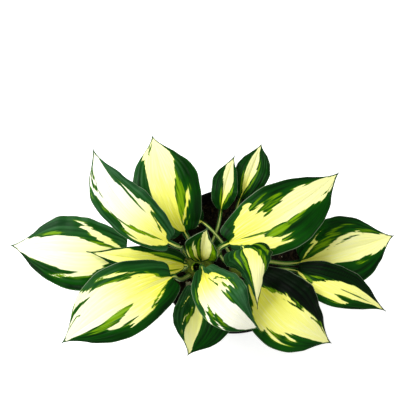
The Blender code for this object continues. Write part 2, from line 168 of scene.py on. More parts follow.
MARKS = {
    "leaf_01": Marks(
        high=((0, .05), (.1, .12), (.2, .2), (.3, .33), (.4, .43), (.5, .43), (.6, .47), (.75, .48),
              (.8, .55),
              (.85, .68), (.9, 1.1)),
        low=((0, -.1), (.1, -.25), (.2, -.4), (.3, -.5), (.36, -.63), (.46, -.65), (.55, -.58), (.61, -.46),
             (.75, -.47), (.82, -.54), (.88, -.66), (.93, -1.1)),
        cream=((.06, .2, .3, .62, .12), (.2, .5, .42, .74, .11), (.3, .72, .47, .86, .035),
               (.48, -.6, .61, -.77, .05)),
        lime=((.13, .18, .4, .43, .06), (.58, .48, .8, .62, .07), (.33, -.64, .5, -.68, .04),
              (.5, -.62, .6, -.76, .05)),
        green=((.45, -.52, .63, -.56, .035), (.36, .52, .62, .56, .05)),
        tone=(0.06, 0.5, 0.5), glaucous_sheen_shade=(.0, .5)),
    "leaf_02": Marks(
        high=((0, .1), (.04, .16), (.08, .4), (.1, .45), (.2, .52), (.3, .66), (.38, .73), (.42, .7),
              (.44, .52),
              (.6, .43), (.67, .42), (.7, .33), (.8, .34), (.86, .4), (.92, .7), (1, 1)),
        low=((0, -.45), (.05, -.55), (.1, -.63), (.2, -.85), (.28, -.88), (.36, -.8), (.4, -.56),
             (.46, -.58),
             (.52, -.64), (.58, -.68), (.62, -.74), (.68, -.88), (.75, -1.05)),
        cream=((.57, -.62, .75, -1.02, .035), (.4, .53, .6, .54, .035)),
        lime=((.04, -.12, .46, -.62, .085), (.5, -.62, .61, -.78, .035), (.27, -.76, .43, -.79, .05),
              (.09, .22, .31, .67, .045)),
        green=((.34, .42, .72, .46, .055), (.58, -.68, .77, -.97, .1), (.6, -.47, .93, -1.0, .05),
               (.72, -.53, .92, -.86, .045)),
        tone=(0.03, 0.95, 0.34), glaucous_sheen_shade=(.5, .6)),
    "leaf_03": Marks(
        high=((0, .16), (.05, .14), (.08, .1), (.2, .14), (.3, .18), (.4, .25), (.5, .32), (.6, .43),
              (.7, .57),
              (.8, .72), (.86, .76), (.92, .95), (1, 1.1)),
        low=((0, -.2), (.05, -.35), (.15, -.45), (.5, -.48), (.6, -.5), (.7, -.56), (.76, -.67),
             (.84, -1.05)),
        cream=((.07, .1, .3, .55, .055), (.22, .46, .4, .61, .055)),
        lime=((.06, .08, .62, .44, .1), (.14, .22, .5, .46, .1), (.04, .14, .15, .52, .05),
              (.3, .62, .42, .66, .04),
              (.8, -.4, .92, -.85, .06)),
        green=((.84, -.5, .95, -.5, .08),),
        tone=(0.3, 1.15, 0.5), glaucous_sheen_shade=(.35, .0)),
    "leaf_04": Marks(
        high=((0, .1), (.15, .13), (.2, .2), (.3, .3), (.4, .45), (.5, .53), (.62, .6), (.7, .56),
              (.85, .48),
              (.93, .6), (1, .9)),
        low=((0, 0), (.2, -.02), (.3, -.05), (.5, -.18), (.6, -.28), (.7, -.42), (.8, -.6), (.9, -.95)),
        lime=((.05, .2, .6, .72, .12), (.02, -.1, .5, -.3, .1)),
        tone=(.35, 1.2, .3), glaucous_sheen_shade=(.1, .0)),
    "leaf_05": Marks(
        high=((0, .1), (.1, .05), (.2, .13), (.4, .2), (.5, .3), (.55, .22), (.7, .25), (.77, .2),
              (.84, .12),
              (.92, .25), (1, .7)),
        low=((0, -.1), (.1, -.06), (.2, -.2), (.4, -.32), (.5, -.36), (.7, -.42), (.8, -.4), (.86, -.46),
             (.93, -.7), (1, -1)),
        lime=((.05, .18, .5, .4, .09), (.4, .3, .75, .4, .05), (.03, -.22, .4, -.42, .07)),
        tone=(.35, 1.1, .3), glaucous_sheen_shade=(.0, .0)),
    "leaf_06": Marks(
        high=((0, .3), (.08, .4), (.15, .42), (.2, .56), (.27, .72), (.31, .79), (.36, .74), (.39, .5),
              (.42, .3),
              (.48, .22), (.6, .23), (.7, .29), (.76, .4), (.84, .6), (.9, .8), (1, 1.1)),
        low=((0, -.15), (.07, -.2), (.1, -.36), (.15, -.58), (.2, -.77), (.26, -.92), (.3, -.85),
             (.32, -.6),
             (.34, -.4), (.37, -.29), (.5, -.36), (.6, -.47), (.66, -.56), (.74, -.6), (.8, -.57),
             (.86, -.66),
             (.92, -.9), (1, -1.1)),
        cream=((.3, .68, .48, .77, .04), (.32, .54, .45, .57, .035), (.26, -.5, .42, -.6, .045),
               (.26, -.36, .38, -.41, .035)),
        lime=((.1, .05, .38, .27, .045), (.28, .28, .5, .36, .15), (.45, .24, .64, .31, .06),
              (.3, -.42, .58, -.62, .06), (.32, -.24, .44, -.33, .035), (.36, -.34, .58, -.5, .06),
              (.29, -.68, .44, -.8, .05), (.72, -.52, .81, -.61, .035)),
        green=((.79, .3, .91, .62, .035),),
        tone=(0.38, 1.05, 0.33), glaucous_sheen_shade=(.1, .0)),
    "leaf_07": Marks(
        high=((0, .25), (.2, .35), (.38, .3), (.5, .38), (.55, .4), (.62, .36), (.7, .43), (.8, .55),
              (.86, .72),
              (.91, 1.1)),
        low=((0, -.12), (.1, -.1), (.2, -.18), (.3, -.22), (.4, -.33), (.5, -.42), (.63, -.52), (.67, -.43),
             (.8, -.45), (.87, -.55), (.92, -.8), (1, -1.1)),
        cream=((.03, -.18, .3, -.72, .055),),
        lime=((.06, -.14, .45, -.47, .09), (.18, -.38, .62, -.73, .05), (.08, -.1, .42, -.34, .04),
              (.34, -.17, .72, -.41, .022), (.58, -.44, .93, -.68, .055), (.51, .41, .67, .54, .035)),
        green=((.42, -.42, .62, -.52, .03),),
        tone=(0.42, 0.95, 0.28), glaucous_sheen_shade=(.1, -.1)),
    "leaf_08": Marks(
        high=((0, .3), (.15, .42), (.22, .52), (.3, .72), (.42, .71), (.56, .76), (.62, .74), (.66, .5),
              (.69, .37),
              (.8, .33), (.86, .24), (.93, .4), (1, .8)),
        low=((0, .1), (.1, .2), (.2, .32), (.25, .2), (.3, .1), (.35, 0), (.4, -.07), (.5, -.22),
             (.6, -.35),
             (.7, -.36), (.8, -.4), (.86, -.5), (.92, -.7), (1, -1)),
        lime=((.06, .12, .24, .44, .1), (.12, .12, .38, -.08, .05), (.48, .14, .88, .1, .035)),
        green=((.47, .44, .86, .62, .13),),
        tone=(0.5, 0.85, 0.5), glaucous_sheen_shade=(-.7, .0)),
    "leaf_09": Marks(
        high=((0, .5), (.2, .58), (.3, .75), (.4, .83), (.43, .8), (.45, .66), (.5, .6), (.55, .56),
              (.58, .48),
              (.7, .4), (.8, .38), (.86, .45), (.93, .75), (1, 1)),
        low=((0, .1), (.15, .03), (.2, -.1), (.3, -.25), (.36, -.35), (.4, -.3), (.48, -.33), (.5, -.25),
             (.6, -.38),
             (.7, -.45), (.8, -.56), (.9, -.78), (1, -1.1)),
        cream=((.4, .7, .64, .77, .035), (.53, .48, .68, .61, .035)),
        lime=((.12, 0, .36, -.28, .05), (.7, -.45, .88, -.77, .035), (.46, -.3, .54, -.34, .03)),
        green=((.38, -.16, .6, -.34, .035), (.7, -.36, .95, -.72, .06), (.42, .66, .66, .66, .05)),
        tone=(0.47, 1.15, 0.45), glaucous_sheen_shade=(-.9, .0)),
    "leaf_10": Marks(
        high=((0, .12), (.2, .02), (.5, .08), (.8, .2), (1, .5)),
        low=((0, -.12), (.08, -.3), (.2, -.5), (.35, -.66), (.5, -.78), (.65, -.92), (.8, -1), (1, -1.1)),
        lime=((.0, .14, .75, .34, .1), (.02, .4, .4, .52, .06), (.02, -.32, .5, -.86, .1),
              (.0, -.62, .22, -.8, .1)),
        tone=(0.35, 0.8, 0.3), glaucous_sheen_shade=(.0, .4)),
    "leaf_11": Marks(
        high=((0, .1), (.07, .25), (.12, .35), (.2, .68), (.3, .77), (.4, .77), (.46, .66), (.5, .52),
              (.56, .55),
              (.6, .64), (.7, .72), (.8, .82), (.88, .95), (1, 1.1)),
        low=((0, -.03), (.06, -.03), (.1, -.25), (.14, -.48), (.2, -.6), (.3, -.63), (.38, -.6), (.4, -.35),
             (.44, -.28), (.6, -.27), (.7, -.33), (.85, -.39), (.93, -.55), (1, -1)),
        cream=((.36, .72, .56, 1.02, .035), (.48, .66, .68, 1.02, .035), (.28, -.57, .44, -.6, .035),
               (.33, -.38, .49, -.38, .035)),
        lime=((.36, .53, .56, .82, .07), (.48, .5, .67, .8, .06), (.11, -.02, .3, -.3, .04),
              (.18, -.22, .32, -.82, .08), (.33, -.21, .62, -.3, .05), (.3, -.4, .48, -.46, .05),
              (.28, -.64, .48, -.66, .035), (.18, .76, .32, .88, .05)),
        green=((.5, .72, .72, .92, .05),),
        tone=(0.0, 1.3, 0.3), glaucous_sheen_shade=(.9, .3)),
    "leaf_12": Marks(
        high=((0, .1), (.3, .15), (.4, .2), (.5, .3), (.6, .42), (.7, .52), (.8, .68), (.87, .9),
              (.92, 1.1)),
        low=((0, -.05), (.5, -.12), (.7, -.08), (.8, -.06), (.88, -.15), (.95, -.4), (1, -.8)),
        cream=((.3, .22, .67, .68, .028), (.18, .44, .32, .74, .03)),
        lime=((.3, .22, .64, .56, .06),),
        tone=(0.4, 0.7, 0.5), glaucous_sheen_shade=(.0, .5)),
    "leaf_13": Marks(
        high=((0, .1), (.06, .18), (.1, .2), (.15, .4), (.2, .48), (.25, .53), (.35, .55), (.5, .62),
              (.6, .77),
              (.7, .85), (.75, 1.05)),
        low=((0, -.1), (.06, -.14), (.1, -.3), (.15, -.47), (.2, -.56), (.3, -.7), (.4, -.72), (.47, -.78),
             (.5, -.64), (.6, -.57), (.63, -.5), (.65, -.27), (.8, -.31), (.9, -.36), (.95, -.6), (1, -1)),
        cream=((.25, .61, .5, .84, .035), (.58, .77, .8, 1.04, .045)),
        lime=((.25, .44, .6, .74, .04), (.09, .18, .22, .62, .06), (.43, .78, .52, .88, .03),
              (.75, .45, .92, .92, .045), (.38, -.2, .74, -.38, .12), (.46, -.36, .77, -.5, .08),
              (.05, -.15, .3, -.7, .05)),
        green=((.62, .6, .9, 1.0, .08), (.38, -.59, .58, -.66, .04)),
        tone=(0.12, 1.15, 0.42), glaucous_sheen_shade=(.0, .3)),
    "leaf_14": Marks(
        high=((0, .2), (.1, .2), (.2, .26), (.3, .36), (.4, .46), (.5, .57), (.6, .74), (.7, .9),
              (.76, .85),
              (.79, .68), (.86, .62), (1, .9)),
        low=((0, -1.1), (.2, -.95), (.4, -.7), (.6, -.55), (.8, -.6), (.9, -.8), (1, -1)),
        lime=((.02, .5, .46, .52, .13), (.08, .21, .38, .42, .045), (.02, -.6, .3, -.6, .06)),
        tone=(0.34, 1.3, 0.6), glaucous_sheen_shade=(.0, .1)),
    "leaf_15": Marks(
        high=((0, .3), (.2, .42), (.38, .56), (.5, .58), (.58, .68), (.68, .95), (.75, .85), (.85, .55),
              (.92, .7),
              (1, 1)),
        low=((0, 0), (.1, -.05), (.35, -.08), (.6, -.13), (.7, -.18), (.8, -.25), (.9, -.5), (1, -1.1)),
        cream=((.05, -.4, .68, -.5, .11), (.28, -.52, .76, -.6, .045), (.1, -.78, .48, -.9, .05)),
        lime=((.0, .62, .85, .86, .2), (.0, -.14, .86, -.36, .11), (.02, -.68, .6, -.68, .14)),
        green=((.6, -.5, .95, -.5, .08),),
        tone=(0.4, 1.0, 0.4), glaucous_sheen_shade=(.1, .0)),
    "leaf_16": Marks(
        high=((0, .2), (.06, 0), (.1, -.2), (.15, -.55), (.2, -.8), (.26, -1.2)),
        low=((0, -1.2), (1, -1.2)),
        lime=((.0, -.8, .12, -.9, .1), (.0, .1, .3, -.1, .08)),
        tone=(.4, .9, .2), glaucous_sheen_shade=(.0, .0)),
    "leaf_17": Marks(
        high=((0, .2), (.3, .1), (.45, -.2)),
        low=((0, -.1), (.45, -.1), (1, .2)),
        lime=((.0, .15, .5, .2, .12), (.0, -.2, .6, -.3, .1)),
        tone=(.4, 1.3, .5), glaucous_sheen_shade=(.1, .1)),
}
STALK_TONE = 0.5
RIM = 1.5 * MM  # width of the thin green rim round the cream
RIM_SOFT = 8 * MM  # brings that rim's measure in line with the other fields
FLAME = 0.035  # how far the ends of the cream run out along single veins
GREEN_TIP = 0.972  # where along the blade the cream stops short of the tip


def unit(vectors):
    """Each vector at length 1."""
    return vectors / np.linalg.norm(vectors, axis=-1, keepdims=True)


def heading_vector(degrees):
    """The level direction at an angle round from +X."""
    return np.array((cos(radians(degrees)), sin(radians(degrees)), 0.0))


def midrib(leaf, t):
    """Points and headings of the midrib; it runs on straight behind the base, where t is under 0."""
    t = t[..., None]
    pull = 2 * leaf.middle - (leaf.base + leaf.tip) / 2
    start = (pull - leaf.base) * 2
    curve = leaf.base * (1 - t) ** 2 + pull * 2 * t * (1 - t) + leaf.tip * t * t
    ahead = (pull - leaf.base) * (1 - t) + (leaf.tip - pull) * t
    return np.where(t < 0, leaf.base + start * t, curve), unit(np.where(t < 0, start, ahead))


def stalk_curve(leaf, t):
    """Points and headings of the stalk, a smooth curve from the crown's dome into the midrib."""
    place, radius = CROWNS[leaf.crown]
    side = heading_vector(leaf.foot)
    height = DOME_RISE * sqrt(1 - (leaf.ring / radius) ** 2)
    up = np.array((0.0, 0.0, 1.0))
    normal = unit(side * leaf.ring * MM / (radius * MM) ** 2 + up * height / DOME_RISE**2)
    foot = np.array(place) * MM + side * leaf.ring * MM + up * height + normal * FIT
    _, ahead = midrib(leaf, np.array(0.0))
    span = np.linalg.norm(leaf.base - foot)
    leave = normal if leaf.lean is None else unit(normal + heading_vector(leaf.lean))
    a = foot + leave * span * leaf.rise
    b = leaf.base - ahead * span * leaf.arrive
    t = t[..., None]
    point = foot * (1 - t) ** 3 + a * 3 * t * (1 - t) ** 2 + b * 3 * t * t * (1 - t) + leaf.base * t**3
    heading = (a - foot) * (1 - t) ** 2 + (b - a) * 2 * t * (1 - t) + (leaf.base - b) * t * t
    return point, unit(np.where(t == 0, normal, heading))


def outline(wide, bow, u):
    """A half blade's width at u, as a share of its greatest: a round base and a drawn-out tip."""
    base = np.clip(1 - (1 - u / wide) ** 2, 0, 1) ** BASE_ROUND
    tip = np.clip(1 - np.clip((u - wide) / (1 - wide), 0, 1) ** bow, 0, 1) ** TIP_DRAW
    pinch = 1 - TIP_PINCH * np.clip((u - 0.8) / 0.15, 0, 1)
    return np.where(u < wide, base, tip * pinch)


def across(point, heading, roll, v, half, fold, droop):
    """Points across a strip that is bent up beside its midrib and hangs at its margins, with normals."""
    left = unit(np.cross((0.0, 0.0, 1.0), heading))
    up = np.cross(heading, left)
    left, up = left * cos(roll) + up * sin(roll), up * cos(roll) - left * sin(roll)
    side = np.where(v > 0, -1.0, 1.0)[..., None]
    reach = np.abs(v)
    lift = (fold - (fold + droop) * reach / 2)[..., None]
    slope = (fold - (fold + droop) * reach)[..., None]
    out = (reach * half)[..., None]
    place = point + left * side * out * np.cos(lift) + up * out * np.sin(lift)
    return place, up * np.cos(slope) - left * side * np.sin(slope)


def of_side(values, v):
    """Each point's value for its own half of the blade; values holds left and right."""
    return np.where(v > 0, values[1], values[0])


def relief(u, v, rng):
    """How far a blade's surface stands off its plain shape: quilting, a wavy margin and slow swells."""
    inside = np.clip(4 * u * (1 - u), 0, 1)
    quilt = (np.abs(np.sin(pi * VEINS * np.abs(v) ** VEIN_SPREAD)) - 0.6) * QUILT * inside**0.5
    quilt = quilt * np.clip((1 - np.abs(v)) * 6, 0, 1)
    quilt = quilt - SINK * np.exp(-((v / 0.045) ** 2)) * inside**0.5
    waves = rng.uniform(2.2, 3.6, 2)
    phase = rng.uniform(0, tau, 6)
    wave = np.sin(tau * of_side(waves, v) * u + of_side(phase[:2], v))
    wave = wave + 0.5 * np.sin(tau * 2.3 * of_side(waves, v) * u + of_side(phase[2:4], v))
    ripple = RIPPLE * np.abs(v) ** 3 * wave * inside
    swell = SWELL * np.sin(4.1 * u + phase[4]) * np.sin(3.7 * v + phase[5]) * inside
    return quilt + ripple + swell


def half_width(leaf, u, v):
    """Half the blade's width at u, on the side that v is on."""
    shape = [outline(leaf.wide[side], leaf.bow[side], u) for side in (0, 1)]
    base = leaf.stalk * (1 - u) ** 8 * (1 - np.clip(u / BASE_RUN, 0, 1))
    return np.maximum(of_side(leaf.half, v) * of_side(shape, v) + base, TIP_HALF)


def blade_grid(leaf, u, v, rng):
    """The blade's upper surface, its normals and its thickness over a grid of u and v."""
    grow = np.clip(u / BASE_RUN, 0, 1)
    back = of_side(leaf.lobe, v) * u / LOBE_AT * np.exp(1 - u / LOBE_AT) * np.abs(v)
    point, heading = midrib(leaf, u - back)
    half = half_width(leaf, u, v)
    fold = STALK_FOLD * 0.5 * (1 - grow) + of_side(leaf.fold, v) * (0.5 + 0.5 * grow)
    place, normal = across(point, heading, leaf.roll, v, half, fold, of_side(leaf.droop, v) * grow)
    share = half / max(leaf.half)
    place = place + normal * (relief(u, v, rng) * np.minimum(1, share * 1.6))[..., None]
    middle = RIB_THICK + (STALK_THICK - RIB_THICK) * (1 - u) ** 4
    return place, normal, EDGE_THICK + (middle - EDGE_THICK) * (1 - np.abs(v)) ** 2


def stalk_grid(leaf, t, v):
    """The stalk's channelled upper surface, its normals and its thickness."""
    point, heading = stalk_curve(leaf, t)
    fold = STALK_FOLD + (of_side(leaf.fold, v) - STALK_FOLD) * t**3 * 0.5
    place, normal = across_rolled(leaf, point, heading, t, v, fold)
    thick = STALK_THICK * (0.45 + 0.55 * (1 - np.abs(v)) ** 2)
    return place, normal, thick


def across_rolled(leaf, point, heading, t, v, fold):
    """The stalk's strip, which takes up the blade's roll evenly along its length."""
    half = np.full(v[0].shape, leaf.stalk)
    rows = [
        across(point[i], heading[i], leaf.roll * t[i, 0], v[i], half, fold[i], 0.0)
        for i in range(len(t))
    ]
    return np.array([r[0] for r in rows]), np.array([r[1] for r in rows])


def value_noise(x, rng):
    """Smooth noise from -1 to 1 along a line."""
    table = rng.uniform(-1, 1, 512)
    cell = np.floor(x).astype(int)
    part = x - cell
    part = part * part * (3 - 2 * part)
    return table[cell % 512] * (1 - part) + table[(cell + 1) % 512] * part


def streak(u, v, line):
    """A field that is over 0 inside a pointed streak."""
    u0, v0, u1, v1, width = line
    t = (u - u0) / (u1 - u0)
    return width * (1 - (2 * t - 1) ** 2) - np.abs(v - v0 - (v1 - v0) * t)


def paint(marks, u, v, half, rng):
    """Two fields over a blade, each over 0 inside its colour: cream and yellow-green."""
    flames = value_noise(v * 10 + 40, rng) + 0.6 * value_noise(v * 27 + 90, rng)
    run = u + FLAME * flames * np.clip(4 * u * (1 - u), 0, 1)
    high = np.interp(run, *zip(*marks.high))
    low = np.interp(run, *zip(*marks.low))
    cream = np.minimum(v - low, high - v)
    lime = np.full(u.shape, -1.0)
    rim = ((1 - np.abs(v)) * half - RIM * (1 + 0.4 * flames)) / RIM_SOFT
    cream = np.minimum(cream, np.minimum(rim, (GREEN_TIP - u) * 4))
    for line in marks.cream:
        cream = np.maximum(cream, streak(run, v, line))
    for line in marks.lime:
        field = streak(run, v, line)
        lime = np.maximum(lime, field)
        cream = np.minimum(cream, -field)
    for line in marks.green:
        field = streak(run, v, line)
        lime = np.minimum(lime, -field)
        cream = np.minimum(cream, -field)
    return cream, lime


def sheet_mesh(name, rows, columns, upper, lower):
    """A closed sheet: an upper and a lower grid of points, joined round their edges."""
    count = rows * columns
    points = np.concatenate((upper.reshape(-1, 3), lower.reshape(-1, 3)))
    i, j = np.meshgrid(np.arange(rows - 1), np.arange(columns - 1), indexing="ij")
    a = (i * columns + j).ravel()
    quads = [np.stack((a, a + 1, a + columns + 1, a + columns), 1)]
    quads.append(np.stack((a + columns, a + columns + 1, a + 1, a), 1) + count)
    edge = np.arange(rows - 1) * columns
    for start, flip in ((0, False), (columns - 1, True)):
        b = edge + start
        quad = np.stack((b, b + columns, b + columns + count, b + count), 1)
        quads.append(quad[:, ::-1] if flip else quad)
    end = np.arange(columns - 1)
    for start, flip in ((0, True), ((rows - 1) * columns, False)):
        b = end + start
        quad = np.stack((b, b + 1, b + 1 + count, b + count), 1)
        quads.append(quad[:, ::-1] if flip else quad)
    faces = np.concatenate(quads)
    mesh = bpy.data.meshes.new(name)
    mesh.from_pydata(points.tolist(), [], faces.tolist())
    mesh.shade_smooth()
    return mesh


def on_both(values):
    """The same values on a sheet's upper and lower face."""
    return np.concatenate((values, values))


def add_field(mesh, name, values):
    """A value at each point of a sheet, which the materials read by its name."""
    mesh.attributes.new(name, "FLOAT", "POINT").data.foreach_set("value", values.astype(np.float32).ravel())


def add_uv(mesh, name, u, v):
    """A UV map from a u and a v at each point."""
    index = np.empty(len(mesh.loops), dtype=np.int32)
    mesh.loops.foreach_get("vertex_index", index)
    pairs = np.stack((u.ravel()[index], v.ravel()[index]), 1)
    mesh.uv_layers.new(name=name).data.foreach_set("uv", pairs.astype(np.float32).ravel())


def add_piece(name, mesh, slot, material, *nodes):
    """A finished piece at the origin, which rides on the plant's one body and stands for its CAD nodes."""
    piece = bpy.data.objects.new(name, mesh)
    bpy.context.scene.collection.objects.link(piece)
    mesh.materials.clear()
    mesh.materials.append(material)
    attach(piece, BODY)
    for node in nodes:
        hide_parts(node)
    return piece


def build_leaf(number, name, material):
    """One leaf, stalk and blade in a single closed sheet, with the fields that colour it."""
    leaf, marks = LEAVES[name], MARKS[name]
    rng = np.random.RandomState(100 + number)
    v_line = np.sin(np.linspace(-pi / 2, pi / 2, COLUMNS)) * 0.25 + np.linspace(-1, 1, COLUMNS) * 0.75
    t_line = np.linspace(0, 1, STALK_ROWS, endpoint=False)
    u_line = np.linspace(0, 1, BLADE_ROWS) ** ROW_CROWDING
    t, v_stalk = np.meshgrid(t_line, v_line, indexing="ij")
    u, v_blade = np.meshgrid(u_line, v_line, indexing="ij")
    stalk = stalk_grid(leaf, t, v_stalk)
    blade = blade_grid(leaf, u, v_blade, rng)
    place, normal, thick = (np.concatenate(pair) for pair in zip(stalk, blade))
    lower = place - normal * thick[..., None]
    mesh = sheet_mesh(name + "_fine", STALK_ROWS + BLADE_ROWS, COLUMNS, place, lower)

    cream, lime = paint(marks, u, v_blade, half_width(leaf, u, v_blade), rng)
    groove = 0.5 - np.abs(v_stalk)
    rim = 0.72 - np.abs(v_stalk)
    blend = t**6
    cream = np.concatenate((groove * (1 - blend) + cream[:1] * blend, cream))
    lime = np.concatenate((rim * (1 - blend) + lime[:1] * blend, lime))
    along = np.concatenate((t - 1, u))
    over = np.concatenate((v_stalk, v_blade))
    tip_tone, base_tone, reach = marks.tone
    tone = tip_tone + (base_tone - tip_tone) * np.exp(-((np.maximum(along, 0) / reach) ** 2))
    tone = np.where(along < 0, tone + (STALK_TONE - tone) * np.clip(-along * 4, 0, 1), tone)
    add_field(mesh, "cream", on_both(cream))
    add_field(mesh, "lime", on_both(lime))
    add_field(mesh, "tone", on_both(tone))
    add_field(mesh, "glaucous_sheen_shade", on_both(np.interp(over, (-0.3, 0.3), marks.glaucous_sheen_shade)))
    add_field(mesh, "under", np.concatenate((np.zeros(along.shape), np.ones(along.shape))))
    add_field(mesh, "seed", on_both(np.full(along.shape, number * 7.3)))
    add_field(mesh, "stalk", on_both(np.clip(-along * 6, 0, 1)))
    add_uv(mesh, "blade", on_both(along), on_both(over))
    return add_piece(name + "_fine", mesh, "leaf", material, name)


# ---------------------------------------------------------------- pot, mix and crowns: shape

POT_LOW, POT_HIGH = (Vector(corner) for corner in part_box("pot"))
RIM_R = (POT_HIGH.x - POT_LOW.x) / 2
POT_H = POT_HIGH.z
FOOT_R = 65 * MM
WALL = 1.6 * MM
FLOOR = 2.0 * MM
COLLAR_H = 15 * MM
COLLAR_STEP = 2.2 * MM
COLLAR_DRAW = 1.2 * MM
LIP = 2.4 * MM
POT_SIDES = 192
DRAINS = 6
DRAIN_R = 6 * MM
DRAIN_RING = 46 * MM

MIX_TOP = 144 * MM
MIX_FALL = 1.5 * MM
MIX_RINGS = 84
MIX_SIDES = 200
MIX_ROUGH = 1.5 * MM


def wall_radius(z):
    """The pot's outer wall at height z, below its collar."""
    top = RIM_R - COLLAR_STEP - COLLAR_DRAW
    return FOOT_R + (top - FOOT_R) * z / (POT_H - COLLAR_H)


def arc(centre_r, centre_z, radius, start, end, steps=6):
    """A rounded corner of a profile, with its angles in degrees."""
    angles = [radians(start + (end - start) * i / steps) for i in range(steps + 1)]
    return [(centre_r + radius * cos(a), centre_z + radius * sin(a)) for a in angles]


def revolve(profile, sides, centre=(0.0, 0.0)):
    """A closed solid of revolution from a profile that starts and ends at its two middles."""
    bm = bmesh.new()
    rings = []
    for radius, z in profile:
        ring = []
        for i in range(sides):
            angle = tau * i / sides
            ring.append(bm.verts.new((centre[0] + radius * cos(angle), centre[1] + radius * sin(angle), z)))
        rings.append(ring)
    for low, high in zip(rings, rings[1:]):
        for i in range(sides):
            j = (i + 1) % sides
            bm.faces.new((low[i], low[j], high[j], high[i]))
    for ring, z in ((rings[0], profile[0][1]), (rings[-1], profile[-1][1])):
        middle = bm.verts.new((centre[0], centre[1], z))
        for i in range(sides):
            bm.faces.new((ring[i], ring[(i + 1) % sides], middle))
    bmesh.ops.recalc_face_normals(bm, faces=bm.faces)
    return bm


def mesh_of(bm, name):
    """A smooth-shaded mesh from a bmesh, which is then freed."""
    mesh = bpy.data.meshes.new(name)
    bm.to_mesh(mesh)
    bm.free()
    mesh.shade_smooth()
    return mesh


def mark_corners(mesh, degrees):
    """Smooth shading that breaks where two faces meet at a sharper angle than this."""
    mesh.set_sharp_from_angle(angle=radians(degrees))


def pot_profile():
    """The pot's outline, from its underside up the outside, over the lip and down the inside."""
    under = POT_H - COLLAR_H
    wall = [(wall_radius(z), z) for z in np.linspace(6 * MM, under - 2 * MM, 24)]
    inner = [(wall_radius(z) - WALL, z) for z in np.linspace(under - 4 * MM, 5 * MM, 20)]
    foot_r = wall_radius(3 * MM)
    floor_r = wall_radius(FLOOR) - WALL
    return (
        [(FOOT_R - 6 * MM, 1.2 * MM), (FOOT_R - 5 * MM, 0.2 * MM), (FOOT_R - 4.4 * MM, 0.0)]
        + arc(foot_r - 2.5 * MM, 2.5 * MM, 2.5 * MM, -90, 0)
        + wall
        + [(wall_radius(under), under)]
        + arc(RIM_R - COLLAR_DRAW - 0.9 * MM, under + 0.9 * MM, 0.9 * MM, -90, 0)
        + [(RIM_R - 0.5 * MM, POT_H - 6 * MM), (RIM_R, POT_H - 3 * MM)]
        + arc(RIM_R - 1.2 * MM, POT_H - 1.2 * MM, 1.2 * MM, 0, 180, 14)
        + [(RIM_R - LIP - 0.3 * MM, POT_H - 6 * MM), (RIM_R - LIP - COLLAR_DRAW, under + 2.5 * MM)]
        + [(wall_radius(under) - WALL, under - 2 * MM)]
        + inner
        + [(floor_r - 1.5 * MM, FLOOR + 0.4 * MM), (floor_r - 3 * MM, FLOOR)]
    )


def build_pot():
    """The black nursery pot, with a rolled lip over its collar and drain holes round its floor."""
    pot = bpy.data.objects.new("pot_shape", mesh_of(revolve(pot_profile(), POT_SIDES), "pot_shape"))
    bpy.context.scene.collection.objects.link(pot)
    tools = []
    for i in range(DRAINS):
        angle = tau * (i + 0.5) / DRAINS
        place = (DRAIN_RING * cos(angle), DRAIN_RING * sin(angle))
        hole = revolve(((DRAIN_R, -FLOOR), (DRAIN_R, 3 * FLOOR)), 40, place)
        tool = bpy.data.objects.new("drain_shape", mesh_of(hole, "drain_shape"))
        bpy.context.scene.collection.objects.link(tool)
        tools.append(tool)
        cut = pot.modifiers.new("drain", "BOOLEAN")
        cut.object = tool
        cut.operation = "DIFFERENCE"
        cut.solver = "EXACT"
    mesh = applied(pot, "pot_fine")
    for thing in [pot, *tools]:
        bpy.data.objects.remove(thing, do_unlink=True)
    mark_corners(mesh, 40)
    add_piece("pot_fine", mesh, "pot_plastic", pot_material(), "pot")


def applied(thing, name):
    """The mesh of an object with its modifiers applied."""
    graph = bpy.context.evaluated_depsgraph_get()
    mesh = bpy.data.meshes.new_from_object(thing.evaluated_get(graph))
    mesh.name = name
    return mesh


def mix_height(x, y):
    """The mix's surface: a low mound, lumpy at two scales, and a little lower along the pot's wall."""
    r = sqrt(x * x + y * y)
    plain = MIX_TOP - MIX_FALL * max(0.0, r / RIM_R - 0.35) / 0.65
    lumps = noise.fractal(Vector((x * 95, y * 95, 3.1)), 0.7, 2.1, 4)
    clods = abs(noise.noise(Vector((x * 330, y * 330, 8.7))))
    return plain - 0.6 * MM + MIX_ROUGH * (lumps * 0.8 + clods * 0.7)


def build_mix():
    """The potting mix that fills the pot, with a rough surface of clods."""
    edge = wall_radius(MIX_TOP) - WALL - FIT
    floor = FLOOR + FIT
    low_edge = wall_radius(FLOOR) - WALL - 3 * FIT
    profile = [(low_edge * share, floor) for share in (0.5, 1.0)]
    rise = MIX_TOP - 4 * MM - floor
    profile += [(low_edge + (edge - low_edge) * t, floor + rise * t) for t in (0.4, 0.8, 1.0)]
    for i in range(MIX_RINGS):
        share = i / MIX_RINGS
        profile.append((edge * (1 - share) + 0.4 * MM * share, MIX_TOP))
    bm = revolve(profile, MIX_SIDES)
    for vert in bm.verts:
        if vert.co.z > MIX_TOP - 1 * MM:
            vert.co.z = mix_height(vert.co.x, vert.co.y)
    mesh = mesh_of(bm, "mix_fine")
    add_piece("mix_fine", mesh, "potting_mix", mix_material(), "potting_mix")
    return mesh


# Crumbs lie on the mix: name, number, smallest and largest radius (mm), length to width, seed.
CRUMBS = (
    ("peat_crumbs", 1500, 0.5, 1.5, 1.3, 3),
    ("bark_chips", 190, 0.9, 2.3, 2.6, 11),
    ("perlite_grains", 26, 0.5, 1.1, 1.1, 7),
)


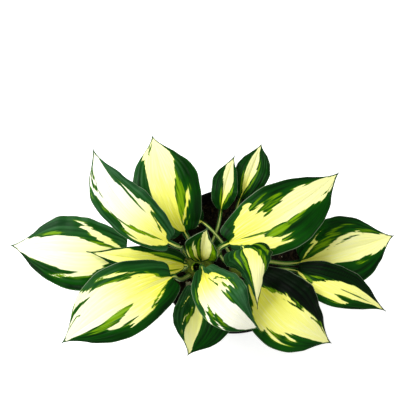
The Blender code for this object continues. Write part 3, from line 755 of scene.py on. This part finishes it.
def crumb_tree(name):
    """Scatters rough grains over a surface: points, a grain on each, all roughened, and a material."""
    tree = bpy.data.node_groups.new(name, "GeometryNodeTree")
    sockets = (
        ("Geometry", "NodeSocketGeometry"), ("Density", "NodeSocketFloat"), ("Smallest", "NodeSocketFloat"),
        ("Largest", "NodeSocketFloat"), ("Longer", "NodeSocketFloat"), ("Seed", "NodeSocketInt"),
        ("Material", "NodeSocketMaterial"),
    )
    for label, kind in sockets:
        tree.interface.new_socket(label, in_out="INPUT", socket_type=kind)
    tree.interface.new_socket("Geometry", in_out="OUTPUT", socket_type="NodeSocketGeometry")
    add = tree.nodes.new
    link = tree.links.new
    source = add("NodeGroupInput").outputs
    points = add("GeometryNodeDistributePointsOnFaces")
    link(source["Geometry"], points.inputs["Mesh"])
    link(source["Density"], points.inputs["Density"])
    link(source["Seed"], points.inputs["Seed"])
    grain = add("GeometryNodeMeshIcoSphere")
    grain.inputs["Radius"].default_value = 1.0
    grain.inputs["Subdivisions"].default_value = 2
    longer = add("ShaderNodeCombineXYZ")
    link(source["Longer"], longer.inputs["X"])
    longer.inputs["Y"].default_value = 1.0
    longer.inputs["Z"].default_value = 0.8
    stretch = add("GeometryNodeTransform")
    link(grain.outputs["Mesh"], stretch.inputs["Geometry"])
    link(longer.outputs["Vector"], stretch.inputs["Scale"])
    turn = add("FunctionNodeRandomValue")
    turn.data_type = "FLOAT_VECTOR"
    turn.inputs["Max"].default_value = (0.5, 0.5, tau)
    size = add("FunctionNodeRandomValue")
    float_inputs = [socket for socket in size.inputs if socket.type == "VALUE"]
    link(source["Smallest"], float_inputs[0])
    link(source["Largest"], float_inputs[1])
    place = add("GeometryNodeInstanceOnPoints")
    link(points.outputs["Points"], place.inputs["Points"])
    link(stretch.outputs["Geometry"], place.inputs["Instance"])
    link(turn.outputs["Value"], place.inputs["Rotation"])
    link([socket for socket in size.outputs if socket.type == "VALUE"][0], place.inputs["Scale"])
    real = add("GeometryNodeRealizeInstances")
    link(place.outputs["Instances"], real.inputs["Geometry"])
    wobble = add("ShaderNodeTexNoise")
    wobble.inputs["Scale"].default_value = 700.0
    centred = add("ShaderNodeVectorMath")
    centred.operation = "SUBTRACT"
    link(wobble.outputs["Color"], centred.inputs[0])
    centred.inputs[1].default_value = (0.5, 0.5, 0.5)
    scaled = add("ShaderNodeVectorMath")
    scaled.operation = "SCALE"
    link(centred.outputs["Vector"], scaled.inputs[0])
    scaled.inputs["Scale"].default_value = 2.2 * MM
    rough = add("GeometryNodeSetPosition")
    link(real.outputs["Geometry"], rough.inputs["Geometry"])
    link(scaled.outputs["Vector"], rough.inputs["Offset"])
    coat = add("GeometryNodeSetMaterial")
    link(rough.outputs["Geometry"], coat.inputs["Geometry"])
    link(source["Material"], coat.inputs["Material"])
    link(coat.outputs["Geometry"], add("NodeGroupOutput").inputs["Geometry"])
    return tree


def mix_surface(mesh):
    """A copy of the open surface of the mix, for crumbs to lie on."""
    bm = bmesh.new()
    bm.from_mesh(mesh)
    reach = RIM_R - 8 * MM
    low = [v for v in bm.verts if v.co.z < MIX_TOP - 6 * MM or Vector(v.co[:2]).length > reach]
    bmesh.ops.delete(bm, geom=low, context="VERTS")
    return mesh_of(bm, "mix_surface")


def build_crumbs(mesh):
    """Peat crumbs, bark chips and perlite grains, scattered over the mix."""
    tree = crumb_tree("crumbs")
    ids = {item.name: item.identifier for item in tree.interface.items_tree if item.in_out == "INPUT"}
    surface = mix_surface(mesh)
    area = sum(face.area for face in surface.polygons)
    materials = {
        "peat_crumbs": grain_material("peat_crumb", (0.004, 0.003, 0.002), (0.022, 0.015, 0.009)),
        "bark_chips": grain_material("bark_chip", (0.006, 0.004, 0.002), (0.045, 0.026, 0.013)),
        "perlite_grains": grain_material("perlite", (0.42, 0.38, 0.3), (0.75, 0.71, 0.6)),
    }
    for name, number, smallest, largest, longer, seed in CRUMBS:
        bed = bpy.data.objects.new("bed", surface)
        bpy.context.scene.collection.objects.link(bed)
        scatter = bed.modifiers.new("scatter", "NODES")
        scatter.node_group = tree
        values = {
            "Density": number / area, "Smallest": smallest * MM, "Largest": largest * MM,
            "Longer": longer, "Seed": seed, "Material": materials[name],
        }
        for label, value in values.items():
            scatter[ids[label]] = value
        grains = applied(bed, name)
        bpy.data.objects.remove(bed, do_unlink=True)
        add_piece(name, grains, "potting_mix", materials[name])


def crown_place(name):
    """A crown's middle and radius, in metres."""
    centre, radius = CROWNS[name]
    return Vector(centre) * MM, radius * MM


ROOTS = {"crown_west": (70, 115, 160, 205, 250, 295), "crown_east": (-95, -55, -15, 25, 65, 105)}
ROOT_STEPS = 18
ROOT_SIDES = 12


def add_root(bm, centre, radius, number, heading):
    """One fleshy root, a closed tapering tube that runs out and down through the mix."""
    depth = 96 * MM * (1 - 0.12 * (number % 3))
    points = []
    for i in range(ROOT_STEPS):
        t = i / (ROOT_STEPS - 1)
        out = radius * 0.4 + 24 * MM * sqrt(t) * (1 - t / 4)
        angle = heading + radians(20) * t * t
        points.append(centre + Vector((cos(angle) * out, sin(angle) * out, -6 * MM - depth * t**1.4)))
    side = Vector((-sin(heading), cos(heading), 0))
    rings = []
    for i, point in enumerate(points):
        ahead = (points[min(i + 1, ROOT_STEPS - 1)] - points[max(i - 1, 0)]).normalized()
        over = ahead.cross(side).normalized()
        size = 1.7 * MM * (1 - 0.5 * i / (ROOT_STEPS - 1)) * (1 + 0.08 * sin(i * 2.3 + number))
        ring = []
        for k in range(ROOT_SIDES):
            angle = tau * k / ROOT_SIDES
            ring.append(bm.verts.new(point + side * size * cos(angle) + over * size * sin(angle)))
        rings.append(ring)
    for low, high in zip(rings, rings[1:]):
        for k in range(ROOT_SIDES):
            j = (k + 1) % ROOT_SIDES
            bm.faces.new((low[k], low[j], high[j], high[k]))
    bm.faces.new(rings[0])
    bm.faces.new(rings[-1])


def build_crown(name):
    """A crown: a low fibrous dome with the leaves' feet on it, and its roots in the mix."""
    centre, radius = crown_place(name)
    profile = [(radius * 0.2, -16 * MM), (radius * 0.45, -15.6 * MM)]
    for i in range(-10, 25):
        angle = i / 25 * pi / 2
        rise = DOME_RISE if i > 0 else 16 * MM
        profile.append((radius * cos(angle), rise * sin(angle)))
    bm = revolve([(r, centre.z + z) for r, z in profile], 96, centre[:2])
    for vert in bm.verts:
        out = (vert.co - centre).normalized()
        turn = compass_share(out)
        fibres = noise.fractal(Vector((turn * 9, out.z * 2, radius * 99)), 0.8, 2.0, 3)
        knobs = noise.noise(vert.co * 240)
        vert.co -= out * (0.35 * MM + 0.5 * MM * abs(fibres) + 0.4 * MM * abs(knobs))
    for number, heading in enumerate(ROOTS[name]):
        add_root(bm, centre, radius, number, radians(heading))
    bmesh.ops.recalc_face_normals(bm, faces=bm.faces)
    add_piece(name + "_fine", mesh_of(bm, name + "_fine"), "crown_flesh", crown_material(), name)


def compass_share(vector):
    """The heading of a vector, from -1 to 1 round the compass."""
    return Vector((vector.x, vector.y)).angle_signed(Vector((1, 0)), 0.0) / pi


# ---------------------------------------------------------------- rolled shoot and papery scale

SHOOT_LENGTH = 34 * MM
SHOOT_FOOT_R = 3.6 * MM
SHOOT_TOP_R = 6.6 * MM
SHOOT_TURNS = 1.6
SHOOT_ROWS = 48
SHOOT_COLUMNS = 150
SHOOT_HEADING = 255  # degrees round from the crown's middle
SHOOT_OUT = 4 * MM
SHOOT_THICK = 0.75 * MM
SHOOT_SEED = 55.0

SCALE_FROM = radians(232)
SCALE_SPAN = radians(42)
SCALE_OUT = 2.2 * MM
SCALE_FOOT = 3 * MM
SCALE_RISE = 10 * MM
SCALE_LEAN = 0.75
SCALE_THICK = 0.7 * MM
SCALE_ROWS = 26
SCALE_COLUMNS = 90


def build_shoot(material):
    """The next leaf, rolled into a tube whose outer edge laps over its inner one."""
    place, dome_r = crown_place("crown_west")
    side = Vector(heading_vector(SHOOT_HEADING))
    height = DOME_RISE * sqrt(1 - (SHOOT_OUT / dome_r) ** 2)
    foot = place + side * SHOOT_OUT + Vector((0, 0, height))
    normal = (side * SHOOT_OUT / dome_r**2 + Vector((0, 0, 1)) * height / DOME_RISE**2).normalized()
    turn = np.array(normal.to_track_quat("Z", "X").to_matrix())
    foot = np.array(foot + normal * FIT)
    t_line = np.linspace(0, 1, SHOOT_ROWS)
    v_line = np.linspace(-1, 1, SHOOT_COLUMNS)
    t, v = np.meshgrid(t_line, v_line, indexing="ij")
    radius = SHOOT_FOOT_R + (SHOOT_TOP_R - SHOOT_FOOT_R) * t**1.6
    radius = radius * (0.62 + 0.19 * (v + 1)) + 0.35 * MM * np.sin(3 * v + 5 * t)
    angle = v * pi * SHOOT_TURNS + 0.6
    rise = SHOOT_LENGTH * t * (0.93 + 0.07 * np.cos(2 * v - 0.6))
    flat = np.stack((radius * np.cos(angle), radius * np.sin(angle), rise), -1)
    out = np.stack((np.cos(angle), np.sin(angle), np.zeros_like(angle)), -1)
    thick = SHOOT_THICK * (1 - 0.5 * np.abs(v) ** 3)
    upper = foot + flat @ turn.T
    lower = foot + (flat - out * thick[..., None]) @ turn.T
    mesh = sheet_mesh("rolled_shoot_fine", SHOOT_ROWS, SHOOT_COLUMNS, upper, lower)
    add_field(mesh, "cream", on_both(0.04 - np.abs(v - 0.3) + 0.1 * (t - 0.5)))
    add_field(mesh, "lime", on_both(0.2 - np.abs(v - 0.2)))
    add_field(mesh, "tone", on_both(1.3 - 0.2 * t))
    add_field(mesh, "glaucous_sheen_shade", on_both(np.zeros_like(t)))
    add_field(mesh, "under", on_both(np.zeros_like(t)))
    add_field(mesh, "seed", on_both(np.full(t.shape, SHOOT_SEED)))
    add_field(mesh, "stalk", on_both(np.clip(0.5 - t, 0, 1)))
    add_uv(mesh, "blade", on_both(t), on_both(v))
    add_piece("rolled_shoot_fine", mesh, "shoot", material, "rolled_shoot")


def build_scale():
    """A dry papery bud scale, curled and frayed, round the foot of the stalks at the front."""
    low_corner, high_corner = (Vector(corner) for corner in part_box("papery_scale"))
    place, radius = crown_place("crown_west")
    t_line = np.linspace(0, 1, SCALE_ROWS)
    v_line = np.linspace(0, 1, SCALE_COLUMNS)
    t, v = np.meshgrid(t_line, v_line, indexing="ij")
    rng = np.random.RandomState(5)
    fray = value_noise(v * 23, rng) + 0.5 * value_noise(v * 61, rng)
    angle = SCALE_FROM + SCALE_SPAN * v
    tall = SCALE_FOOT + SCALE_RISE * np.sqrt(np.clip(np.sin(pi * v), 0, 1))
    tall = np.minimum(tall * (0.9 + 0.1 * fray), high_corner.z - low_corner.z)
    curl = 0.12 * tall * np.sin(pi * t)
    crinkle = 0.5 * MM * np.sin(v * 19 + 3 * t)
    out = radius + SCALE_OUT + tall * SCALE_LEAN * t + curl + crinkle
    x = place.x + np.cos(angle) * out
    y = place.y + np.sin(angle) * out
    z = low_corner.z + tall * t
    upper = np.stack((x, y, z), -1)
    back = np.stack((np.cos(angle), np.sin(angle), np.zeros_like(angle)), -1)
    lower = upper + back * (SCALE_THICK * (1 - 0.6 * t))[..., None]
    mesh = sheet_mesh("papery_scale_fine", SCALE_ROWS, SCALE_COLUMNS, lower, upper)
    add_uv(mesh, "sheet", on_both(v), on_both(t))
    add_piece("papery_scale_fine", mesh, "dry_scale", paper_material(), "papery_scale")


# ---------------------------------------------------------------- node helpers


class Nodes:
    """A short way to write a material's nodes."""

    def __init__(self, name):
        self.material = bpy.data.materials.new(name)
        self.material.use_nodes = True
        self.tree = self.material.node_tree
        self.shader = self.tree.nodes["Principled BSDF"]

    def add(self, kind, inputs=(), **settings):
        node = self.tree.nodes.new(kind)
        for key, value in settings.items():
            setattr(node, key, value)
        for key, value in dict(inputs).items():
            self.feed(node.inputs[key], value)
        return node

    def feed(self, socket, value):
        if isinstance(value, bpy.types.NodeSocket):
            self.tree.links.new(value, socket)
        else:
            socket.default_value = value

    def math(self, operation, a, b=0.0, c=0.0):
        return self.add("ShaderNodeMath", {0: a, 1: b, 2: c}, operation=operation).outputs[0]

    def field(self, name):
        return self.add("ShaderNodeAttribute", attribute_name=name).outputs["Fac"]

    def noise(self, vector, scale, detail=2.0, rough=0.5):
        inputs = {"Vector": vector, "Scale": scale, "Detail": detail, "Roughness": rough}
        return self.add("ShaderNodeTexNoise", inputs).outputs["Fac"]

    def step(self, value, low, high, out_low=0.0, out_high=1.0):
        inputs = {"Value": value, "From Min": low, "From Max": high, "To Min": out_low, "To Max": out_high}
        return self.add("ShaderNodeMapRange", inputs, interpolation_type="SMOOTHSTEP").outputs["Result"]

    def mix(self, factor, a, b, blend="MIX"):
        node = self.add("ShaderNodeMix", data_type="RGBA", blend_type=blend)
        self.feed(node.inputs[0], factor)
        self.feed(node.inputs[6], a)
        self.feed(node.inputs[7], b)
        return node.outputs[2]

    def ramp(self, value, stops):
        node = self.add("ShaderNodeValToRGB", {"Fac": value})
        elements = node.color_ramp.elements
        while len(elements) < len(stops):
            elements.new(1.0)
        for element, (position, colour) in zip(elements, stops):
            element.position = position
            element.color = colour
        return node.outputs["Color"]

    def bump(self, height, strength, distance):
        inputs = {"Height": height, "Strength": strength, "Distance": distance}
        return self.add("ShaderNodeBump", inputs).outputs["Normal"]

    def finish(self, colour, roughness, normal=None, **constants):
        self.feed(self.shader.inputs["Base Color"], colour)
        self.feed(self.shader.inputs["Roughness"], roughness)
        if normal is not None:
            self.feed(self.shader.inputs["Normal"], normal)
        for key, value in constants.items():
            self.shader.inputs[key.replace("_", " ")].default_value = value
        return self.material


def rgb(red, green, blue):
    """An opaque colour."""
    return (red, green, blue, 1.0)


# ---------------------------------------------------------------- materials


def leaf_material():
    """Cream centre, yellow-green streaks and a dark margin, all drawn out along the veins, with painted
    sheen and painted shade on the green and painted highlights on the cream.
    """
    n = Nodes("hosta_leaf")
    uv = n.add("ShaderNodeUVMap", uv_map="blade").outputs["UV"]
    split = n.add("ShaderNodeSeparateXYZ", {"Vector": uv})
    u, v = split.outputs["X"], split.outputs["Y"]
    seed = n.field("seed")
    along = n.math("MULTIPLY", u, 3.0)
    over = n.math("MULTIPLY", v, 16.0)
    lines = n.add("ShaderNodeCombineXYZ", {"X": along, "Y": over, "Z": seed}).outputs["Vector"]
    coarse = n.math("SUBTRACT", n.noise(lines, 1.0, 2.0), 0.5)
    fine = n.math("SUBTRACT", n.noise(lines, 3.1, 3.0, 0.6), 0.5)
    ragged = n.math("MULTIPLY_ADD", fine, 0.05, n.math("MULTIPLY", coarse, 0.1))
    cream_field = n.math("ADD", n.field("cream"), ragged)
    lime_field = n.math("ADD", n.field("lime"), n.math("MULTIPLY", ragged, 1.0))
    fringe = n.math("ADD", cream_field, n.math("MULTIPLY_ADD", coarse, 0.1, 0.012))
    lime_field = n.math("MAXIMUM", lime_field, fringe)
    cream = n.step(cream_field, -0.012, 0.012)
    lime = n.step(lime_field, -0.035, 0.02)

    # Margin greens: a plain dark green, a bluish green that is partly the leaf's glaucous coat and partly
    # painted sheen, and a near-black green that is painted shade.
    glaucous_sheen_shade = n.field("glaucous_sheen_shade")
    patches = n.noise(lines, 0.6, 2.0)
    patches = n.step(patches, 0.3, 0.7)
    deep = n.mix(patches, rgb(0.0, 0.012, 0.0), rgb(0.001, 0.05, 0.0))
    # partly the glaucous coat's own colour, partly painted sheen
    glaucous_sheen_green = n.mix(patches, rgb(0.004, 0.05, 0.008), rgb(0.045, 0.15, 0.055))
    # painted shade: a near-black green for leaves that lie in shade
    black = n.mix(patches, rgb(0.0, 0.001, 0.0), rgb(0.0, 0.008, 0.0))
    green = n.mix(n.step(glaucous_sheen_shade, 0.0, 1.0), deep, glaucous_sheen_green)
    green = n.mix(n.step(n.math("MULTIPLY", glaucous_sheen_shade, -1.0), 0.0, 1.0), green, black)
    streaks = n.math("MULTIPLY_ADD", coarse, 0.3, n.math("MULTIPLY", fine, 0.2))
    depth = n.math("ADD", lime_field, streaks)
    lime_colour = n.mix(n.step(depth, -0.03, 0.1), rgb(0.008, 0.085, 0.0), rgb(0.17, 0.34, 0.0))

    mottle = n.math("MULTIPLY", n.math("ADD", fine, coarse), 0.12)
    tone = n.math("MULTIPLY_ADD", n.field("tone"), 0.5, mottle)
    cream_colour = n.ramp(
        tone,
        [(0.0, rgb(0.98, 0.98, 0.84)), (0.12, rgb(0.98, 0.98, 0.56)), (0.3, rgb(0.97, 0.96, 0.24)),
         (0.5, rgb(0.88, 0.86, 0.08)), (0.68, rgb(0.5, 0.5, 0.01)), (0.85, rgb(0.3, 0.34, 0.0))],
    )
    warped = n.math("POWER", n.math("ABSOLUTE", v), VEIN_SPREAD)
    # painted shade: the green is darker along the vein furrows
    furrow_shade = n.math("ABSOLUTE", n.math("SINE", n.math("MULTIPLY", warped, pi * VEINS)))
    furrow_shade = n.step(furrow_shade, 0.3, 0.0)
    green = n.mix(n.math("MULTIPLY", furrow_shade, 0.35), green, rgb(0.0, 0.006, 0.0))
    near = n.math("MULTIPLY", n.step(cream_field, -0.32, 0.0, 0.0, 0.6), n.step(glaucous_sheen_shade, -0.5, 0.0))
    green = n.mix(near, green, rgb(0.004, 0.08, 0.001))
    vein = n.math("ABSOLUTE", n.math("SINE", n.math("MULTIPLY", warped, pi * VEINS * 3)))
    hair = n.math("MULTIPLY", n.step(vein, 0.35, 0.0), n.step(n.noise(lines, 0.8), 0.35, 0.7, 0.0, 0.5))
    cream_colour = n.mix(hair, cream_colour, rgb(0.66, 0.74, 0.14))

    stalk = n.field("stalk")
    green = n.mix(stalk, green, rgb(0.04, 0.14, 0.02))
    lime_colour = n.mix(stalk, lime_colour, rgb(0.2, 0.33, 0.05))
    cream_colour = n.mix(stalk, cream_colour, n.mix(patches, rgb(0.42, 0.52, 0.1), rgb(0.68, 0.72, 0.28)))
    # painted highlight: paler streaks along the veins of the cream
    light = n.step(n.noise(lines, 1.5, 3.0, 0.6), 0.5, 0.72, 0.0, 0.4)
    cream_colour = n.mix(light, cream_colour, rgb(0.98, 0.98, 0.7))
    colour = n.mix(lime, green, lime_colour)
    colour = n.mix(cream, colour, cream_colour)
    margin = n.step(n.math("ABSOLUTE", v), 0.975, 0.995)
    colour = n.mix(n.math("MULTIPLY", margin, 0.6), colour, rgb(0.3, 0.4, 0.24))
    under = n.field("under")
    pale = n.mix(0.45, colour, rgb(0.3, 0.42, 0.25))
    colour = n.mix(under, colour, pale)

    roughness = n.step(n.math("ADD", cream, under), 0.0, 1.0, 0.42, 0.6)
    roughness = n.math("ADD", roughness, n.math("MULTIPLY", fine, 0.15))
    place = n.add("ShaderNodeTexCoord").outputs["Object"]
    grain = n.noise(place, 1400.0, 2.0)
    height = n.math("MULTIPLY_ADD", grain, 0.12, n.math("MULTIPLY", n.noise(lines, 2.2, 3.0), 0.8))
    normal = n.bump(height, 0.35, 0.4 * MM)
    return n.finish(colour, roughness, normal, Specular_IOR_Level=0.07)


def pot_material():
    """Matt black moulded plastic: a fine grain, faint turned lines, scuffs and a little dried soil."""
    n = Nodes("nursery_pot")
    place = n.add("ShaderNodeTexCoord").outputs["Object"]
    split = n.add("ShaderNodeSeparateXYZ", {"Vector": place})
    grain = n.noise(place, 2600.0, 2.0)
    scuffs = n.noise(place, 38.0, 6.0, 0.7)
    lines = n.noise(n.math("MULTIPLY", split.outputs["Z"], 900.0), 1.0, 1.0)
    dust = n.step(n.noise(place, 120.0, 8.0, 0.75), 0.58, 0.74)
    splash = n.step(split.outputs["Z"], POT_H - 40 * MM, POT_H, 0.15, 0.6)
    plastic = n.mix(scuffs, rgb(0.003, 0.003, 0.0032), rgb(0.009, 0.009, 0.01))
    colour = n.mix(n.math("MULTIPLY", dust, splash), plastic, rgb(0.05, 0.038, 0.026))
    roughness = n.step(scuffs, 0.3, 0.7, 0.38, 0.55)
    height = n.math("MULTIPLY_ADD", grain, 0.5, n.math("MULTIPLY", lines, 0.15))
    return n.finish(colour, roughness, n.bump(height, 0.25, 0.3 * MM), Specular_IOR_Level=0.16)


def mix_material():
    """Dark moist peat with brown fibres and pale specks."""
    n = Nodes("potting_mix_fine")
    place = n.add("ShaderNodeTexCoord").outputs["Object"]
    clods = n.noise(place, 260.0, 6.0, 0.7)
    grain = n.noise(place, 1500.0, 3.0, 0.6)
    peat = n.mix(n.step(clods, 0.35, 0.7), rgb(0.003, 0.002, 0.0015), rgb(0.018, 0.012, 0.007))
    specks = n.step(n.noise(place, 900.0, 1.0), 0.74, 0.8)
    colour = n.mix(specks, peat, rgb(0.24, 0.2, 0.13))
    height = n.math("MULTIPLY_ADD", grain, 0.4, clods)
    return n.finish(colour, 0.95, n.bump(height, 0.8, 1.2 * MM), Specular_IOR_Level=0.12)


def grain_material(name, dark, light):
    """A crumb's matt surface, mottled from dark to light."""
    n = Nodes(name)
    place = n.add("ShaderNodeTexCoord").outputs["Object"]
    large = n.noise(place, 160.0, 3.0, 0.6)
    small = n.noise(place, 1900.0, 3.0, 0.6)
    mottle = n.step(n.math("MULTIPLY_ADD", small, 0.5, large), 0.5, 1.0)
    colour = n.mix(mottle, rgb(*dark), rgb(*light))
    return n.finish(colour, 0.92, n.bump(small, 0.6, 0.5 * MM), Specular_IOR_Level=0.12)


BARE_FROM = 12 * MM  # how far below a crown's top its flesh starts to show
BARE_FULL = 3 * MM


def crown_material():
    """Brown papery fibres over olive flesh, which is bare and yellow-green where the stalks leave it."""
    n = Nodes("crown_fibres")
    place = n.add("ShaderNodeTexCoord").outputs["Object"]
    stretched = n.add("ShaderNodeMapping", {"Vector": place, "Scale": (1.0, 1.0, 0.25)}).outputs["Vector"]
    fibres = n.noise(stretched, 620.0, 4.0, 0.65)
    blotch = n.noise(place, 110.0, 3.0)
    flesh = n.mix(blotch, rgb(0.006, 0.012, 0.002), rgb(0.05, 0.08, 0.012))
    husk = n.mix(fibres, rgb(0.01, 0.006, 0.003), rgb(0.16, 0.12, 0.06))
    colour = n.mix(n.step(blotch, 0.45, 0.62), flesh, husk)
    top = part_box("crown_west")[1][2]
    height = n.add("ShaderNodeSeparateXYZ", {"Vector": place}).outputs["Z"]
    near_top = n.step(height, top - BARE_FROM, top - BARE_FULL)
    bare = n.math("MULTIPLY", near_top, n.step(fibres, 0.7, 0.4, 0.3, 1.0))
    colour = n.mix(bare, colour, n.mix(blotch, rgb(0.05, 0.12, 0.01), rgb(0.34, 0.42, 0.04)))
    return n.finish(colour, 0.8, n.bump(fibres, 0.7, 0.8 * MM), Specular_IOR_Level=0.15)


def paper_material():
    """A dry scale: pale straw with brown veins along it, paler towards its top edge."""
    n = Nodes("papery_scale")
    uv = n.add("ShaderNodeUVMap", uv_map="sheet").outputs["UV"]
    stretched = n.add("ShaderNodeMapping", {"Vector": uv, "Scale": (60.0, 4.0, 1.0)}).outputs["Vector"]
    fibres = n.noise(stretched, 1.0, 4.0, 0.6)
    split = n.add("ShaderNodeSeparateXYZ", {"Vector": uv})
    straw = n.mix(n.step(fibres, 0.3, 0.6), rgb(0.5, 0.4, 0.24), rgb(0.88, 0.82, 0.66))
    colour = n.mix(n.step(split.outputs["Y"], 0.3, 0.9), straw, rgb(0.94, 0.88, 0.76))
    return n.finish(colour, 0.75, n.bump(fibres, 0.6, 0.4 * MM), Specular_IOR_Level=0.2)


def build_plant():
    """Every piece of the potted plant."""
    material = leaf_material()
    for number, name in enumerate(LEAVES, 1):
        build_leaf(number, name, material)
    build_shoot(material)
    build_scale()
    for name in CROWNS:
        build_crown(name)
    build_pot()
    build_crumbs(build_mix())


# ---------------------------------------------------------------- studio

CAMERA_AT = (-0.0290, -0.1779, 1.2016)
CAMERA_TILT = radians(13)
LENS = 78.23
FLOOR_SIZE = 40.0
FLOOR_GLOW = 0.55
SKY = 0.5
LAMP_AIM = (0, 0, 0.15)


def floor_material():
    """A pale floor that glows a little, so that it stays white."""
    n = Nodes("pale_floor")
    place = n.add("ShaderNodeTexCoord").outputs["Object"]
    tint = n.mix(n.noise(place, 9.0), rgb(0.93, 0.93, 0.93), rgb(0.96, 0.96, 0.96))
    n.finish(tint, 0.9, Specular_IOR_Level=0.1)
    n.shader.inputs["Emission Color"].default_value = rgb(1, 1, 1)
    n.shader.inputs["Emission Strength"].default_value = FLOOR_GLOW
    return n.material


def build_studio():
    """The pale floor, soft light and camera."""
    bm = bmesh.new()
    bmesh.ops.create_grid(bm, x_segments=8, y_segments=8, size=FLOOR_SIZE)
    mesh = bpy.data.meshes.new("floor")
    bm.to_mesh(mesh)
    bm.free()
    floor = bpy.data.objects.new("floor", mesh)
    bpy.context.scene.collection.objects.link(floor)
    mesh.materials.append(floor_material())

    world = bpy.data.worlds.new("studio")
    world.use_nodes = True
    background = world.node_tree.nodes["Background"]
    background.inputs["Color"].default_value = rgb(1, 1, 1)
    background.inputs["Strength"].default_value = SKY
    bpy.context.scene.world = world
    lamp("key", (-1.1, 0.7, 1.5), 1.1, 34)
    lamp("fill", (1.0, -0.9, 1.7), 1.6, 6)

    camera = bpy.data.cameras.new("camera")
    camera.lens = LENS
    camera.sensor_width = 36
    holder = bpy.data.objects.new("camera", camera)
    holder.location = CAMERA_AT
    holder.rotation_euler = (CAMERA_TILT, 0, 0)
    bpy.context.scene.collection.objects.link(holder)
    bpy.context.scene.camera = holder
    bpy.context.scene.view_settings.view_transform = "Standard"


def lamp(name, place, size, power):
    """A square lamp aimed at the pot's middle."""
    light = bpy.data.lights.new(name, "AREA")
    light.size = size
    light.energy = power
    holder = bpy.data.objects.new(name, light)
    holder.location = place
    aim = Vector(LAMP_AIM) - Vector(place)
    holder.rotation_euler = aim.to_track_quat("-Z", "Y").to_euler()
    bpy.context.scene.collection.objects.link(holder)


build_plant()
build_studio()
